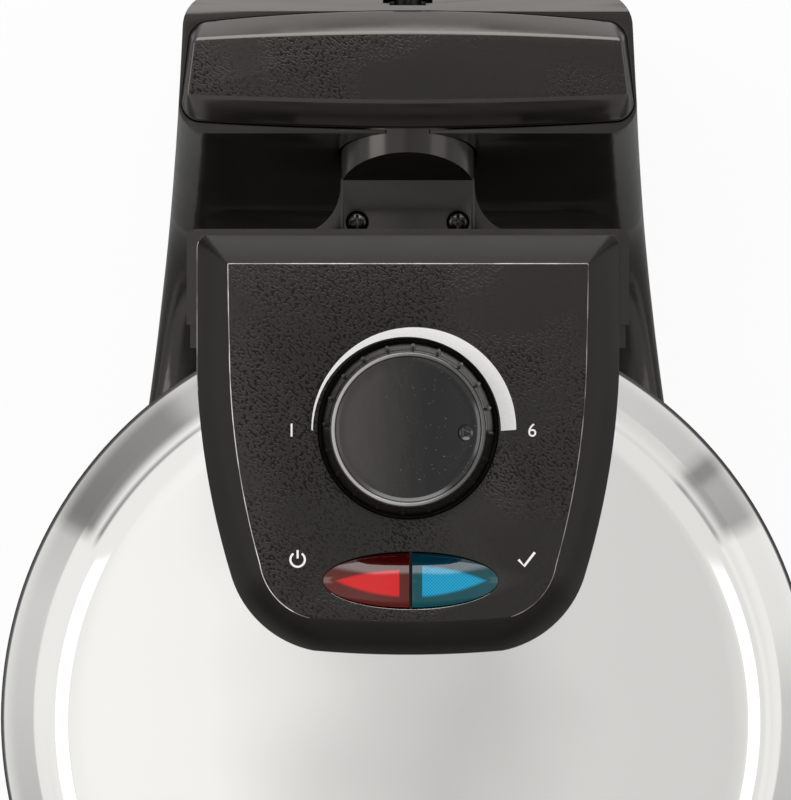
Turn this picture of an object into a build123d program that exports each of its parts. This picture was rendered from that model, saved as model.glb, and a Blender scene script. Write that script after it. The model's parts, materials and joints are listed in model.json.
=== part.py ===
from build123d import *
import os
from math import ceil, cos, pi, radians, sin, sqrt, tan

# Flip-over belgian waffle maker, in millimetres, +Z up, front towards -Y.
# Pieces are drawn about the centre of the round head and moved back by SHIFT_Y when they are
# written, so that the origin is under the middle of the whole cooker, at the table.

# Driving dimensions
LID_D = 220.1                 # polished lid over its plastic rim
AXIS_Z = 145.0                # flip axis, along Y, in the parting plane of the two halves
GAP = 1.0                     # half of the gap between the two closed halves
FRONT_REACH = 172.0           # head centre to the tip of the folding handle
REAR_REACH = 200.0            # head centre to the back of the base
SHIFT_Y = (FRONT_REACH - REAR_REACH) / 2

# Head, heights counted from the flip axis
RIM_R = LID_D / 2
COVER_R = 109.2               # pressed cover, just inside the plastic rim
CROWN_R = 93.5                # where the bevel ring meets the nearly flat crown
RIM_H = 15.0                  # plastic ring height
BEVEL_H = 33.0                # top of the bevel ring
CROWN_H = 38.5                # top of the crown at its centre
SHEET = 0.8                   # sheet metal thickness
RING_WALL = 5.0

# Waffle plates
PLATE_R = 92.0
PLATE_FLANGE_R = 103.0
POCKET_DEPTH = 13.0
PEG = 13.5
PEG_PITCH = 20.0
PEG_H = 11.0
PEG_TAPER = 8.0

# Control panel, heights above the table
PANEL_FACE_Z = 194.0
PANEL_EDGE_Z = 185.5
PANEL_WALL = 2.2
PANEL_REAR_Y = 129.8
PANEL_HALF_W = 55.9
KNOB_Y = 78.5
KNOB_R = 22.4
KNOB_TOP_R = 19.8
KNOB_TOP_Z = 209.0
KNOB_GRIPS = 20
GRIP_R = 3.2                  # hollow between two ridges of the knob's skirt
GRIP_DEPTH = 1.1
LENS_C = (0.7, 38.7)
LENS_SIZE = (45.3, 14.3)

# Hinge between the halves, and the flip pivot
HINGE_Y = 121.0
HINGE_Z = 166.0
HINGE_PIN_R = 3.0
RUN_GAP = 0.08                # radial running clearance
BARREL_R = 11.0
EAR_R = 9.0                   # round end of the ears that hold the pin
NECK_HALF_W = 32.0
EAR_IN = 33.0
EAR_OUT = 44.0
CHEEK_IN = 47.0               # housing cheeks outside the hinge block
BLOCK_FRONT_Y = 131.3
BLOCK_BACK_Y = 145.0          # clear of the tower's leaning front wall
BLOCK_TOP_Z = 150.0
BLOCK_STEP = 3.2              # from the block's flat top down to its flared sides
FLARE_R = 13.0                # hollow curve of the flared sides
SLEEVE_R = 18.4
SLEEVE_FRONT_Y = 143.4        # foot of the slanting front cut of the sleeve
SLEEVE_APEX_Y = 152.9         # top of the slanting cut
BUSH_R = 19.8                 # outside of the front bearing ring
STOP_R = 19.6                 # outside of the half ring that stops the flip
SHAFT_R = 12.0
SHAFT_BORE_R = 7.0
SHAFT_END_Y = 186.4
CLIP_Y = (184.2, 185.4)       # groove and spring clip that hold the shaft in the tower
CLIP_R = (11.0, 14.6)
SCREW_X = 13.7
SCREW_Y = 134.6

# Base and tower
WALL = 2.5
SWING_R = 118.0               # hollow of the base under the head, about the flip axis
TOWER_FACE_Y = 140.0          # the hollow's rear end, at the foot of the tower
SHELL_FOOT_Z = 3.0
TOWER_TOP_Z = 163.0
CORNER_R = 8.0                # front corners of the tower
CAP_EDGE_Z = 165.0
CAP_FACE_Z = 170.0
CAP_SEAT_Z = 156.0            # ledge inside the tower that the cap rests on
CAP_FIT = 0.3
TRAY_HALF_W = 58.0
TRAY_FRONT_Y = -96.0
TRAY_BACK_Y = 96.0
TRAY_FLOOR_Z = 8.0

# Folding handle
FOLD_Y = -120.0
FOLD_Z = 136.0
FOLD_PIN_R = 2.5

# Mains lead, a flat twin lead drawn round
CORD_R = 3.2
CORD_EXIT_Y = 219.0
CORD_EXIT_Z = 151.5
LOBE_R = 2.2                  # the two halves of the moulded relief round the twin lead
LOBE_X = 1.95
CORD_LAY_Z = 3.45             # middle of the lead where it lies on the table
COIL_R = 38.0                 # outer turn of the put-away coil
COIL_PITCH = 7.6
COIL_LAYER = 7.0
COIL_TURNS = 2.5              # in all, in two layers
COIL_C = (0.0, 341.2)


def add(parts):
    """One solid from several that touch or overlap."""
    whole = parts[0]
    for p in parts[1:]:
        whole = whole + p
    return whole


def cyl_y(r, y0, y1, x=0.0, z=AXIS_Z):
    """Round bar along Y."""
    plane = Plane(origin=(x, y0, z), x_dir=(1, 0, 0), z_dir=(0, 1, 0))
    return extrude(plane * Circle(r), y1 - y0)


def cyl_x(r, x0, x1, y, z):
    """Round bar along X."""
    plane = Plane(origin=(x0, y, z), x_dir=(0, 1, 0), z_dir=(1, 0, 0))
    return extrude(plane * Circle(r), x1 - x0)


def cyl_z(r, z0, z1, x=0.0, y=0.0):
    """Round bar along Z."""
    return extrude(Pos(x, y, z0) * Circle(r), z1 - z0)


def block(x0, x1, y0, y1, z0, z1):
    """Plain block between two corners."""
    centre = ((x0 + x1) / 2, (y0 + y1) / 2, (z0 + z1) / 2)
    return Pos(*centre) * Box(x1 - x0, y1 - y0, z1 - z0)


def turned(points):
    """Solid turned about the head's upright centre line from (radius, height) points."""
    outline = Polyline(*[(r, 0, z) for r, z in points], close=True)
    return revolve(make_face(outline), Axis.Z)


def side_slab(points, x0, x1):
    """Side view outline in (y, z), as thick as x0 to x1."""
    face = make_face(Polyline(*[(x0, y, z) for y, z in points], close=True))
    return extrude(face, x1 - x0, dir=(1, 0, 0))


def to_lower(piece):
    """The same piece on the other half of the head, turned over about the flip axis."""
    return piece.rotate(Axis((0, 0, AXIS_Z), (0, 1, 0)), 180)


# Round halves of the head, drawn for the upper half

def cover_outer(grow=0.0):
    """Outer profile of a cover, rim to centre: short rim, bevel ring, nearly flat crown."""
    def at(r, h):
        return (r + grow, 0, AXIS_Z + h + grow)

    knee = 3.0
    rim = at(COVER_R, RIM_H + 1.2)
    bevel_top = at(CROWN_R + knee, BEVEL_H - knee)
    crown_edge = at(CROWN_R - 3.6, BEVEL_H + 0.6)
    top = AXIS_Z + CROWN_H + grow
    drop = top - crown_edge[2]
    ball_r = (crown_edge[0] ** 2 + drop ** 2) / (2 * drop)
    mid_r = crown_edge[0] / 2
    crown_mid = (mid_r, 0, top - ball_r + sqrt(ball_r ** 2 - mid_r ** 2))
    return [
        Line((COVER_R + grow, 0, AXIS_Z + RIM_H), rim),
        ThreePointArc(rim, at(COVER_R - 6.2, 24.2), bevel_top),
        ThreePointArc(bevel_top, at(CROWN_R, BEVEL_H - 0.8), crown_edge),
        ThreePointArc(crown_edge, crown_mid, (0, 0, top)),
    ]


def cover(lower=False):
    """Pressed steel cover of one half; the lid's has a hole for the wires."""
    outer = cover_outer()
    inner = cover_outer(-SHEET)
    ends = [Line(outer[-1] @ 1, inner[-1] @ 1), Line(outer[0] @ 0, inner[0] @ 0)]
    shell = revolve(make_face(Wire(outer + inner + ends)), Axis.Z)
    if lower:
        return to_lower(shell)
    return shell - cyl_z(6.0, AXIS_Z + 25, AXIS_Z + 50, 0, KNOB_Y)


def cover_space():
    """Everything inside the lid cover's outer face, to trim what sits on it."""
    outer = cover_outer(0.05)
    foot = (0, 0, AXIS_Z)
    ends = [Line(foot, outer[0] @ 0), Line(outer[-1] @ 1, foot)]
    return revolve(make_face(Wire(outer + ends)), Axis.Z)


def ring(lower=False):
    """Moulded heat-proof ring that carries a waffle plate and a cover."""
    z = AXIS_Z
    step_r = PLATE_FLANGE_R + 0.3
    band = turned([(RIM_R - RING_WALL, z + RIM_H), (RIM_R - RING_WALL, z + 6.0),
                   (PLATE_R + 1.0, z + 6.0), (PLATE_R + 1.0, z + 3.6), (step_r, z + 3.6),
                   (step_r, z + GAP), (RIM_R - 1.2, z + GAP), (RIM_R, z + GAP + 1.2),
                   (RIM_R, z + RIM_H)])
    return to_lower(band) if lower else band


def waffle_plate(lower=False):
    """Cast plate: deep pocket, a cross that parts it in four, and tapered pegs."""
    z = AXIS_Z
    floor = z + GAP + POCKET_DEPTH
    dish = turned([(0, floor), (PLATE_R - 4.5, floor), (PLATE_R - 2.5, z + GAP + 0.2),
                   (PLATE_FLANGE_R, z + GAP + 0.2), (PLATE_FLANGE_R, z + 3.5),
                   (PLATE_R + 0.6, z + 3.5), (PLATE_R - 1.2, floor + 3.0), (0, floor + 3.0)])
    bar = 3.4
    reach = PLATE_R - 4.0
    cross = (block(-reach, reach, -bar / 2, bar / 2, z + GAP + 1.2, floor + 0.5)
             + block(-bar / 2, bar / 2, -reach, reach, z + GAP + 1.2, floor + 0.5))
    tip = PEG - 2 * PEG_H * sin(radians(PEG_TAPER))
    pegs = []
    steps = [0.6 * PEG_PITCH + i * PEG_PITCH for i in range(4)]
    for px in steps:
        for py in steps:
            if sqrt(px * px + py * py) + PEG * 0.7 < PLATE_R - 3.0:
                for sx in (1, -1):
                    for sy in (1, -1):
                        foot = Pos(sx * px, sy * py, floor + 0.4) * Rectangle(PEG, PEG)
                        top = Pos(sx * px, sy * py, floor - PEG_H) * Rectangle(tip, tip)
                        pegs.append(loft([foot.face(), top.face()], ruled=True))
    plate = dish + cross + pegs
    return to_lower(plate) if lower else plate


def heater(lower=False):
    """Tubular heating element: most of a ring, with two legs that turn up at the back."""
    r, tube = 65.0, 3.2
    z = AXIS_Z + 21.0
    start = 105
    arc = CenterArc((0, 0, z), r, start, 330)
    loop = sweep(Plane(origin=arc @ 0, z_dir=arc % 0) * Circle(tube), path=arc)
    legs = [cyl_z(tube - 0.6, z - 1, z + 7, r * cos(radians(a)), r * sin(radians(a)))
            for a in (start + 1, start + 329)]
    piece = add([loop] + legs)
    return to_lower(piece) if lower else piece


def reflector(lower=False):
    """Thin bright dish behind the heating element."""
    z = AXIS_Z
    dish = turned([(8, z + 29.0), (86, z + 29.0), (94, z + 25.5), (94.6, z + 26.1),
                   (86.4, z + 29.8), (8, z + 29.8)])
    return to_lower(dish) if lower else dish


# Control panel on the lid

def panel_outline(rear_y, half_w, side, corner, front, z):
    """Closed outline: straight back and upper sides, drawn-in lower sides, rounded front."""
    (sx, sy), (mx, my), (ex, ey) = side
    (cx, cy), (fx, fy) = corner
    r = 1.4
    half = [
        Line((0, rear_y, z), (half_w - r, rear_y, z)),
        ThreePointArc((half_w - r, rear_y, z), (half_w - 0.3 * r, rear_y - 0.3 * r, z),
                      (half_w, rear_y - r, z)),
        Line((half_w, rear_y - r, z), (sx, sy, z)),
        ThreePointArc((sx, sy, z), (mx, my, z), (ex, ey, z)),
        ThreePointArc((ex, ey, z), (cx, cy, z), (fx, fy, z)),
    ]
    other = [edge.mirror(Plane.YZ) for edge in half]
    nose = ThreePointArc((fx, fy, z), (0, front, z), (-fx, fy, z))
    return make_face(Wire(half + [nose] + other))


def panel_edge(z, grow=0.0):
    g = grow
    side = ((PANEL_HALF_W + g, 93.5), (53.2 + g, 67.0), (46.6 + g, 39.0))
    corner = ((40.1 + 0.8 * g, 28.1 - 0.6 * g), (25.0 + 0.3 * g, 19.8 - g))
    return panel_outline(PANEL_REAR_Y + g, PANEL_HALF_W + g, side, corner, 18.7 - g, z)


def panel_face(z, grow=0.0):
    g = grow
    side = ((46.9 + g, 100.0), (44.6 + g, 69.6), (38.9 + g, 43.0))
    corner = ((35.1 + 0.8 * g, 34.6 - 0.6 * g), (26.0 + 0.3 * g, 28.9 - g))
    return panel_outline(121.9 + g, 47.3 + g, side, corner, 27.7 - g, z)


def control_panel():
    """Black moulded bezel with broad bevels and a flat textured face."""
    w = PANEL_WALL
    body = loft([panel_edge(PANEL_EDGE_Z), panel_face(PANEL_FACE_Z)], ruled=True)
    hollow = loft([panel_edge(PANEL_EDGE_Z - 0.01, -w), panel_face(PANEL_FACE_Z - w, -w)],
                  ruled=True)
    lens_hole = extrude(Pos(*LENS_C, PANEL_EDGE_Z) * Ellipse(LENS_SIZE[0] / 2 + 0.2,
                                                           LENS_SIZE[1] / 2 + 0.2), 20)
    shaft_hole = cyl_z(4.5, PANEL_EDGE_Z, PANEL_FACE_Z + 2, 0, KNOB_Y)
    return body - hollow - lens_hole - shaft_hole


def panel_housing():
    """Housing under the panel: a low wall on the lid and a neck down to the hinge barrel."""
    top = PANEL_EDGE_Z
    slab = extrude(panel_edge(top - 26.0), 26.0)
    back = make_face(Wire([
        Line((-58.6, 106.0, 176.0), (-58.6, 128.4, 176.0)),
        ThreePointArc((-58.6, 128.4, 176.0), (-57.7, 130.5, 176.0), (-55.6, 131.4, 176.0)),
        Line((-55.6, 131.4, 176.0), (55.6, 131.4, 176.0)),
        ThreePointArc((55.6, 131.4, 176.0), (57.7, 130.5, 176.0), (58.6, 128.4, 176.0)),
        Line((58.6, 128.4, 176.0), (58.6, 106.0, 176.0)),
        Line((58.6, 106.0, 176.0), (-58.6, 106.0, 176.0)),
    ]))
    collar = extrude(back, top - 1.0 - 176.0)
    slab = slab - block(-80, 80, 60.0, 140.0, 140.0, 176.0)
    cheeks = [side_slab([(100.0, 151.0), (118.0, 151.0), (127.0, 155.0), (131.2, 163.0),
                         (131.2, 177.0), (100.0, 177.0)], *sorted((s * CHEEK_IN, s * 58.0)))
              for s in (1, -1)]
    neck = side_slab([(104.0, AXIS_Z + GAP + 2), (112.0, AXIS_Z + GAP + 2),
                      (HINGE_Y, HINGE_Z - BARREL_R), (HINGE_Y + BARREL_R - 0.6, HINGE_Z),
                      (HINGE_Y + BARREL_R - 0.6, 177.0), (104.0, 177.0)],
                     -NECK_HALF_W, NECK_HALF_W)
    barrel = cyl_x(BARREL_R, -NECK_HALF_W, NECK_HALF_W, HINGE_Y, HINGE_Z)
    inside = extrude(panel_edge(top - 40.0, -PANEL_WALL), 60.0)
    inside = inside & block(-80, 80, 0, 108.0, 100, 200)
    body = add([slab, collar, neck, barrel] + cheeks) - inside - cover_space()
    ring_zone = turned([(0, AXIS_Z - 1), (RIM_R + 0.01, AXIS_Z - 1),
                        (RIM_R + 0.01, AXIS_Z + RIM_H + 0.01), (0, AXIS_Z + RIM_H + 0.01)])
    bore = cyl_x(HINGE_PIN_R + RUN_GAP, -80, 80, HINGE_Y, HINGE_Z)
    ears = add([block(*sorted((s * (EAR_IN - 1.0), s * (EAR_OUT + 1.5))), 100.0, 140.0, 120.0,
                      HINGE_Z + EAR_R + 2.0) for s in (1, -1)])
    return (body - ring_zone - bore - ears).solids().sort_by(SortBy.VOLUME)[-1]


def lens(red):
    """Half of the oval signal lens, low crown, split across the middle."""
    a, b = LENS_SIZE[0] / 2, LENS_SIZE[1] / 2
    bottom, top = PANEL_FACE_Z - 3.0, PANEL_FACE_Z + 2.2
    body = extrude(Pos(*LENS_C, bottom) * Ellipse(a, b), top - bottom)
    body = fillet(body.edges().group_by(Axis.Z)[-1], 2.0)
    split = 0.15
    if red:
        keep = block(LENS_C[0] - 40, LENS_C[0] - split, 0, 80, 180, 210)
    else:
        keep = block(LENS_C[0] + split, LENS_C[0] + 40, 0, 80, 180, 210)
    return body & keep


def lamp(x):
    """Small neon lamp on its holder under the lens."""
    y = LENS_C[1]
    glass = cyl_z(2.4, 186.4, 190.0, x, y)
    holder = block(x - 5, x + 5, y - 4, y + 4, 185.0, 186.4)
    return glass + holder


def knob():
    """Dial knob: turned body with finger grips round the skirt and a pointer in a dimple."""
    z0 = PANEL_FACE_Z + 0.6
    outline = [(0, z0), (KNOB_R, z0), (KNOB_R, z0 + 7.5), (KNOB_TOP_R + 0.9, z0 + 12.9),
               (KNOB_TOP_R, KNOB_TOP_Z), (KNOB_TOP_R - 1.6, KNOB_TOP_Z),
               (KNOB_TOP_R - 2.6, KNOB_TOP_Z - 0.6), (0, KNOB_TOP_Z - 0.6)]
    body = turned(outline)
    grip = cyl_z(GRIP_R, z0 - 1, z0 + 11, KNOB_R + GRIP_R - GRIP_DEPTH, 0)
    grips = [Rot(0, 0, i * 360 / KNOB_GRIPS) * grip for i in range(KNOB_GRIPS)]
    body = body - grips
    dimple = cyl_z(3.6, KNOB_TOP_Z - 1.2, KNOB_TOP_Z + 1, 15.4, 0)
    tip = make_face(Polyline((13.6, -1.7, KNOB_TOP_Z - 1.3), (17.4, 0, KNOB_TOP_Z - 1.3),
                             (13.6, 1.7, KNOB_TOP_Z - 1.3), close=True))
    body = body - dimple + extrude(tip, 0.6)
    stem = cyl_z(4.2, PANEL_FACE_Z - 2.6, z0 + 1.0)
    return Pos(0, KNOB_Y, 0) * (body + stem)


def thermostat():
    """Flat bimetal thermostat body below the panel's face, under the knob."""
    y = KNOB_Y
    body = block(-13, 13, y - 9, y + 9, 185.4, 189.6)
    tabs = add([block(s * 17 - 4, s * 17 + 4, y - 3, y + 3, 185.4, 186.6) for s in (1, -1)])
    neck = cyl_z(5.0, 189.6, 190.8, 0, y)
    return body + tabs + neck


# Hinge and flip pivot

def flared_plan(z):
    """Outline of the hinge block: as wide as the sleeve behind, flared out to the ring."""
    r, f, y = SLEEVE_R, FLARE_R, BLOCK_FRONT_Y
    bend = f * (1 - cos(pi / 4))
    back = BLOCK_BACK_Y
    half = [Line((0, back, z), (r, back, z)),
            Line((r, back, z), (r, y + f, z)),
            ThreePointArc((r, y + f, z), (r + bend, y + bend, z), (r + f, y, z)),
            Line((r + f, y, z), (0, y, z))]
    return make_face(Wire(half + [edge.mirror(Plane.YZ) for edge in half]))


def carrier():
    """Hinge block, ears for the pin, and the sleeve that turns in the tower."""
    r = SLEEVE_R
    low = AXIS_Z - 17.0
    flared = extrude(flared_plan(low), BLOCK_TOP_Z - BLOCK_STEP - low, dir=(0, 0, 1))
    pad = block(-r, r, BLOCK_FRONT_Y, 146.5, BLOCK_TOP_Z - BLOCK_STEP - 0.1, BLOCK_TOP_Z)
    pad = fillet(pad.edges().group_by(Axis.Z)[-1].filter_by(Axis.Y), 1.2)
    foot = block(-EAR_OUT - 2.0, EAR_OUT + 2.0, 106.0, BLOCK_FRONT_Y + 0.1, low, AXIS_Z - 0.6)
    foot = fillet(foot.edges().filter_by(Axis.Z).group_by(Axis.Y)[-1], 4.0)
    sleeve = cyl_y(r, 130.0, 169.0)
    lean = (SLEEVE_APEX_Y - SLEEVE_FRONT_Y) / SLEEVE_R
    slope = side_slab([(120.0, 200.0), (SLEEVE_FRONT_Y + (200.0 - AXIS_Z) * lean, 200.0),
                       (SLEEVE_FRONT_Y + (BLOCK_TOP_Z - AXIS_Z) * lean, BLOCK_TOP_Z),
                       (120.0, BLOCK_TOP_Z)], -30, 30)
    sleeve = sleeve - slope - block(-30, 30, 120, BLOCK_BACK_Y - 0.1, 100, AXIS_Z)
    ears = []
    for s in (1, -1):
        x0, x1 = sorted((s * EAR_IN, s * EAR_OUT))
        lug = side_slab([(111.6, AXIS_Z - 1.2), (128.0, AXIS_Z - 1.2),
                         (HINGE_Y + EAR_R, HINGE_Z), (HINGE_Y - EAR_R, HINGE_Z)], x0, x1)
        ears.append(lug + cyl_x(EAR_R, x0, x1, HINGE_Y, HINGE_Z))
    shaft = cyl_y(SHAFT_R, 168.0, SHAFT_END_Y)
    shaft = shaft - (cyl_y(SHAFT_R + 1.0, *CLIP_Y) - cyl_y(CLIP_R[0], *CLIP_Y))
    stop_lug = block(SHAFT_R - 1.0, STOP_R - 1.0, 171.0, 175.0, AXIS_Z - 2.5, AXIS_Z + 2.5)
    body = add([flared, pad, foot, sleeve, shaft, stop_lug] + ears)
    body = body - cyl_y(SHAFT_BORE_R, 148.0, 200.0)
    body = body - cyl_y(SHAFT_BORE_R, 100.0, 150.0, z=AXIS_Z - 8.0)
    body = body - cyl_x(HINGE_PIN_R, -80, 80, HINGE_Y, HINGE_Z)
    for s in (1, -1):
        body = body - cyl_z(3.5, BLOCK_TOP_Z - 1.6, BLOCK_TOP_Z + 2, s * SCREW_X, SCREW_Y)
        body = body - cyl_z(1.9, AXIS_Z - 12, BLOCK_TOP_Z, s * SCREW_X, SCREW_Y)
    ring_space = turned([(0, 90), (RIM_R + 0.02, 90), (RIM_R + 0.02, 200), (0, 200)])
    return body - ring_space


def shaft_clip():
    """Open spring clip in the groove at the end of the shaft, behind the rear bearing."""
    clip = cyl_y(CLIP_R[1], CLIP_Y[0] + 0.1, CLIP_Y[1] - 0.1) - cyl_y(CLIP_R[0], 180.0, 190.0)
    return clip - block(-5.0, 5.0, 180.0, 190.0, AXIS_Z - 20.0, AXIS_Z)


def hinge_screws():
    """Two pan-head cross-recess screws in the top of the hinge block."""
    out = []
    for s in (1, -1):
        head = cyl_z(3.2, BLOCK_TOP_Z - 1.6, BLOCK_TOP_Z - 0.1, s * SCREW_X, SCREW_Y)
        shank = cyl_z(1.9, AXIS_Z - 11.5, BLOCK_TOP_Z - 1.6, s * SCREW_X, SCREW_Y)
        cut = (block(-1.9, 1.9, -0.4, 0.4, -1.0, 1.0) + block(-0.4, 0.4, -1.9, 1.9, -1.0, 1.0))
        cross = Pos(s * SCREW_X, SCREW_Y, BLOCK_TOP_Z - 0.3) * Rot(0, 0, 25 * s) * cut
        out.append(head + shank - cross)
    return out


def hinge_pin():
    return cyl_x(HINGE_PIN_R, -EAR_OUT - 0.8, EAR_OUT + 0.8, HINGE_Y, HINGE_Z)


def bush(y0, y1, r_in, r_out):
    """Plain bearing ring of the flip pivot."""
    return cyl_y(r_out, y0, y1) - cyl_y(r_in, y0 - 1, y1 + 1)


def stop_ring():
    """Half ring in the tower that stops the flip at either end."""
    half = bush(170.5, 175.5, 14.0, STOP_R)
    return half & block(-30, 30, 160, 190, AXIS_Z + 2.6, 200)


# Base with its tower

def base_plan(z, inset=0.0):
    """Outline of base and tower at one height: wide round the head, narrow at the back."""
    i = inset
    t = (z - SHELL_FOOT_Z) / (TOWER_TOP_Z - SHELL_FOOT_Z)

    def at(foot, top):
        return (foot[0] + (top[0] - foot[0]) * t, foot[1] + (top[1] - foot[1]) * t, z)

    back = at((56.0, REAR_REACH - i), (50.7, 196.5 - i))
    corner = at((64.9 - 0.7 * i, 196.3 - 0.7 * i), (57.8 - 0.7 * i, 193.6 - 0.7 * i))
    rear = at((68.6 - i, 187.4), (60.7 - i, 186.5))
    hip = at((72.8 - i, 133.0), (64.4 - i, 133.0))
    waist = at((78.4 - i, 86.0), (70.0 - i, 86.0))
    flank = at((83.4 - i, 0.0), (76.0 - i, 0.0))
    cheek = at((77.2 - i, -60.0), (70.0 - i, -60.0))
    bow = at((65.6 - 0.7 * i, -90.0 + 0.7 * i), (60.0 - 0.7 * i, -88.0 + 0.7 * i))
    tip = at((37.0 - 0.4 * i, -104.0 + i), (34.0 - 0.4 * i, -101.0 + i))
    nose = at((0.0, -107.0 + i), (0.0, -104.0 + i))
    half = [Line((0, back[1], z), back), ThreePointArc(back, corner, rear),
            ThreePointArc(rear, hip, waist), ThreePointArc(waist, flank, cheek),
            ThreePointArc(cheek, bow, tip)]
    other = [edge.mirror(Plane.YZ) for edge in half]
    front = ThreePointArc(tip, nose, (-tip[0], tip[1], z))
    return make_face(Wire(half + [front] + other))


def side_form(inset):
    """Side view: wings that rise gently and sweep up into the tower's leaning front."""
    i = inset
    x = -100.0
    rise = ThreePointArc((x, -116.0, 25.0 - i), (x, -30.0, 39.5 - i), (x, 72.0, 50.0 - i))
    sweep_up = ThreePointArc((x, 72.0, 50.0 - i), (x, 114.0, 60.5 - i), (x, 133.5 + i, 88.0))
    lean = ThreePointArc((x, 133.5 + i, 88.0), (x, 147.0 + i, 124.0),
                         (x, 158.0 + i, TOWER_TOP_Z))
    rest = Polyline((x, 158.0 + i, TOWER_TOP_Z), (x, 158.0 + i, 190.0), (x, 230.0, 190.0),
                    (x, 230.0, -10.0), (x, -116.0, -10.0), (x, -116.0, 25.0 - i))
    return extrude(make_face(Wire([rise, sweep_up, lean] + rest.edges())), 200.0,
                   dir=(1, 0, 0))


def swing_space(grow=0.0):
    """Room that the head sweeps through when it is turned over, with a curved rear end."""
    g = grow
    low = AXIS_Z - SWING_R - g
    face = TOWER_FACE_Y + g
    outline = Wire([
        Line((0, -250.0, AXIS_Z), (0, -250.0, low)),
        Line((0, -250.0, low), (0, 10.0, low)),
        ThreePointArc((0, 10.0, low), (0, 71.0, low + 8.2), (0, 121.0, AXIS_Z - 90.0 - g)),
        ThreePointArc((0, 121.0, AXIS_Z - 90.0 - g), (0, 135.0, AXIS_Z - 79.0 - 0.7 * g),
                      (0, face, AXIS_Z - 62.0)),
        Line((0, face, AXIS_Z - 62.0), (0, face, AXIS_Z)),
        Line((0, face, AXIS_Z), (0, -250.0, AXIS_Z)),
    ])
    return revolve(make_face(outline), Axis((0, 0, AXIS_Z), (0, 1, 0)))


def base_form(inset, top):
    """Drafted form of base and tower in one, or the space inside its walls."""
    low = SHELL_FOOT_Z - (0.01 if inset else 0.0)
    body = loft([base_plan(low, inset), base_plan(top, inset)], ruled=True) & side_form(inset)
    corners = [e for e in body.edges()
               if e.center().Z > 70.0 and 130.0 < e.center().Y < 160.0
               and abs(e.center().X) > 55.0 and e.bounding_box().size.Z > 20.0]
    return fillet(corners, CORNER_R - inset)


def base_shell():
    """One moulded shell: tower, side wings and the cradle over the drip tray."""
    outer = base_form(0.0, TOWER_TOP_Z) - swing_space()
    body = outer - (base_form(WALL, TOWER_TOP_Z + 0.02) - swing_space(WALL))
    rim = outer & block(-80, 80, 150.0, 210.0, CAP_SEAT_Z - 2.4, TOWER_TOP_Z)
    rim = rim - extrude(cap_outline(CAP_SEAT_Z - 3.0, -4.0), 20.0)
    body = body + rim - extrude(cap_outline(CAP_SEAT_Z, CAP_FIT), 12.0)
    bay = block(-TRAY_HALF_W - 0.6, TRAY_HALF_W + 0.6, -130, TRAY_BACK_Y + 1.0,
                SHELL_FOOT_Z - 1, 60.0)
    bay_wall = block(-TRAY_HALF_W - 2.8, TRAY_HALF_W + 2.8, -130, TRAY_BACK_Y + 3.2,
                     SHELL_FOOT_Z, 60.0)
    body = body + (bay_wall & outer) - bay
    for y0, y1, r in ((162.0, 167.0, BUSH_R), (178.0, 184.0, 16.0)):
        rib = block(-80, 80, y0, y1, 112.0, CAP_SEAT_Z - 2.3) & outer
        body = body + rib - cyl_y(r, y0 - 0.01, y1 + 0.01)
    body = body - cyl_y(SLEEVE_R + 0.6, 140.0, 163.0)
    stop_seat = block(-80, 80, 170.5, 175.5, 149.0, CAP_SEAT_Z - 2.3) & outer
    body = body + stop_seat - cyl_y(STOP_R, 169.0, 177.0)
    return (body - relief_notch()).solids().sort_by(SortBy.VOLUME)[-1]


def relief_notch():
    """Open notch in the tower's rear rim, with a wider slot for the relief's flange."""
    z, top = CORD_EXIT_Z, TOWER_TOP_Z + 1.0
    bore = cyl_y(4.9, 186.0, 205.0, z=z)
    notch = block(-4.9, 4.9, 192.6, 205.0, z, top)
    slot = block(-6.7, 6.7, 193.2, 194.6, z - 4.2, top)
    return bore + notch + slot


def cap_loop(z, rear_y, right, front_y):
    """Closed outline with bowed back and front, from the points of its right half."""
    a, ab, b, c, cd, d = [(x, y, z) for x, y in right]

    def left(p):
        return (-p[0], p[1], z)

    return make_face(Wire([
        ThreePointArc(left(a), (0, rear_y, z), a), ThreePointArc(a, ab, b), Line(b, c),
        ThreePointArc(c, cd, d), ThreePointArc(d, (0, front_y, z), left(d)),
        ThreePointArc(left(d), left(cd), left(c)), Line(left(c), left(b)),
        ThreePointArc(left(b), left(ab), left(a)),
    ]))


def cap_outline(z, grow=0.0):
    """Plan of the tower cap's rim."""
    g = grow
    x_r, x_f = 58.7 + g, 61.1 + g
    r = 5.4
    right = [(x_r - r, 188.1 + g), (x_r - 1.4, 186.4 + 0.7 * g), (x_r + 0.25, 182.6),
             (x_f - 0.25, 166.6), (x_f - 1.6, 162.8 - 0.7 * g), (x_f - r, 161.2 - g)]
    return cap_loop(z, 190.9 + g, right, 159.3 - g)


def tower_cap():
    """Lid of the tower: bevelled all round, with a flat textured top."""
    foot = CAP_SEAT_Z + 0.2
    skirt = extrude(cap_outline(foot), CAP_EDGE_Z - foot)
    top = cap_loop(CAP_FACE_Z, 184.6, [(56.2, 183.0), (57.2, 182.5), (57.6, 181.6),
                                       (59.2, 168.9), (58.9, 167.9), (57.9, 167.5)], 166.0)
    crown = loft([cap_outline(CAP_EDGE_Z), top], ruled=True)
    hollow = extrude(cap_outline(CAP_SEAT_Z, -2.4), CAP_EDGE_Z - CAP_SEAT_Z)
    vault = extrude(cap_outline(CAP_SEAT_Z, -7.5), CAP_FACE_Z - 2.4 - CAP_SEAT_Z)
    return skirt + crown - hollow - vault - cyl_y(SLEEVE_R + 0.6, 150.0, 163.0)


def bottom_plate():
    """Flat plate that closes the base from below, cut out for the drip tray bay."""
    plate = extrude(base_plan(SHELL_FOOT_Z, WALL + 0.4), 2.0)
    bay = block(-TRAY_HALF_W - 3.2, TRAY_HALF_W + 3.2, -130, TRAY_BACK_Y + 3.6, 0, 10)
    return plate - bay


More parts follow.
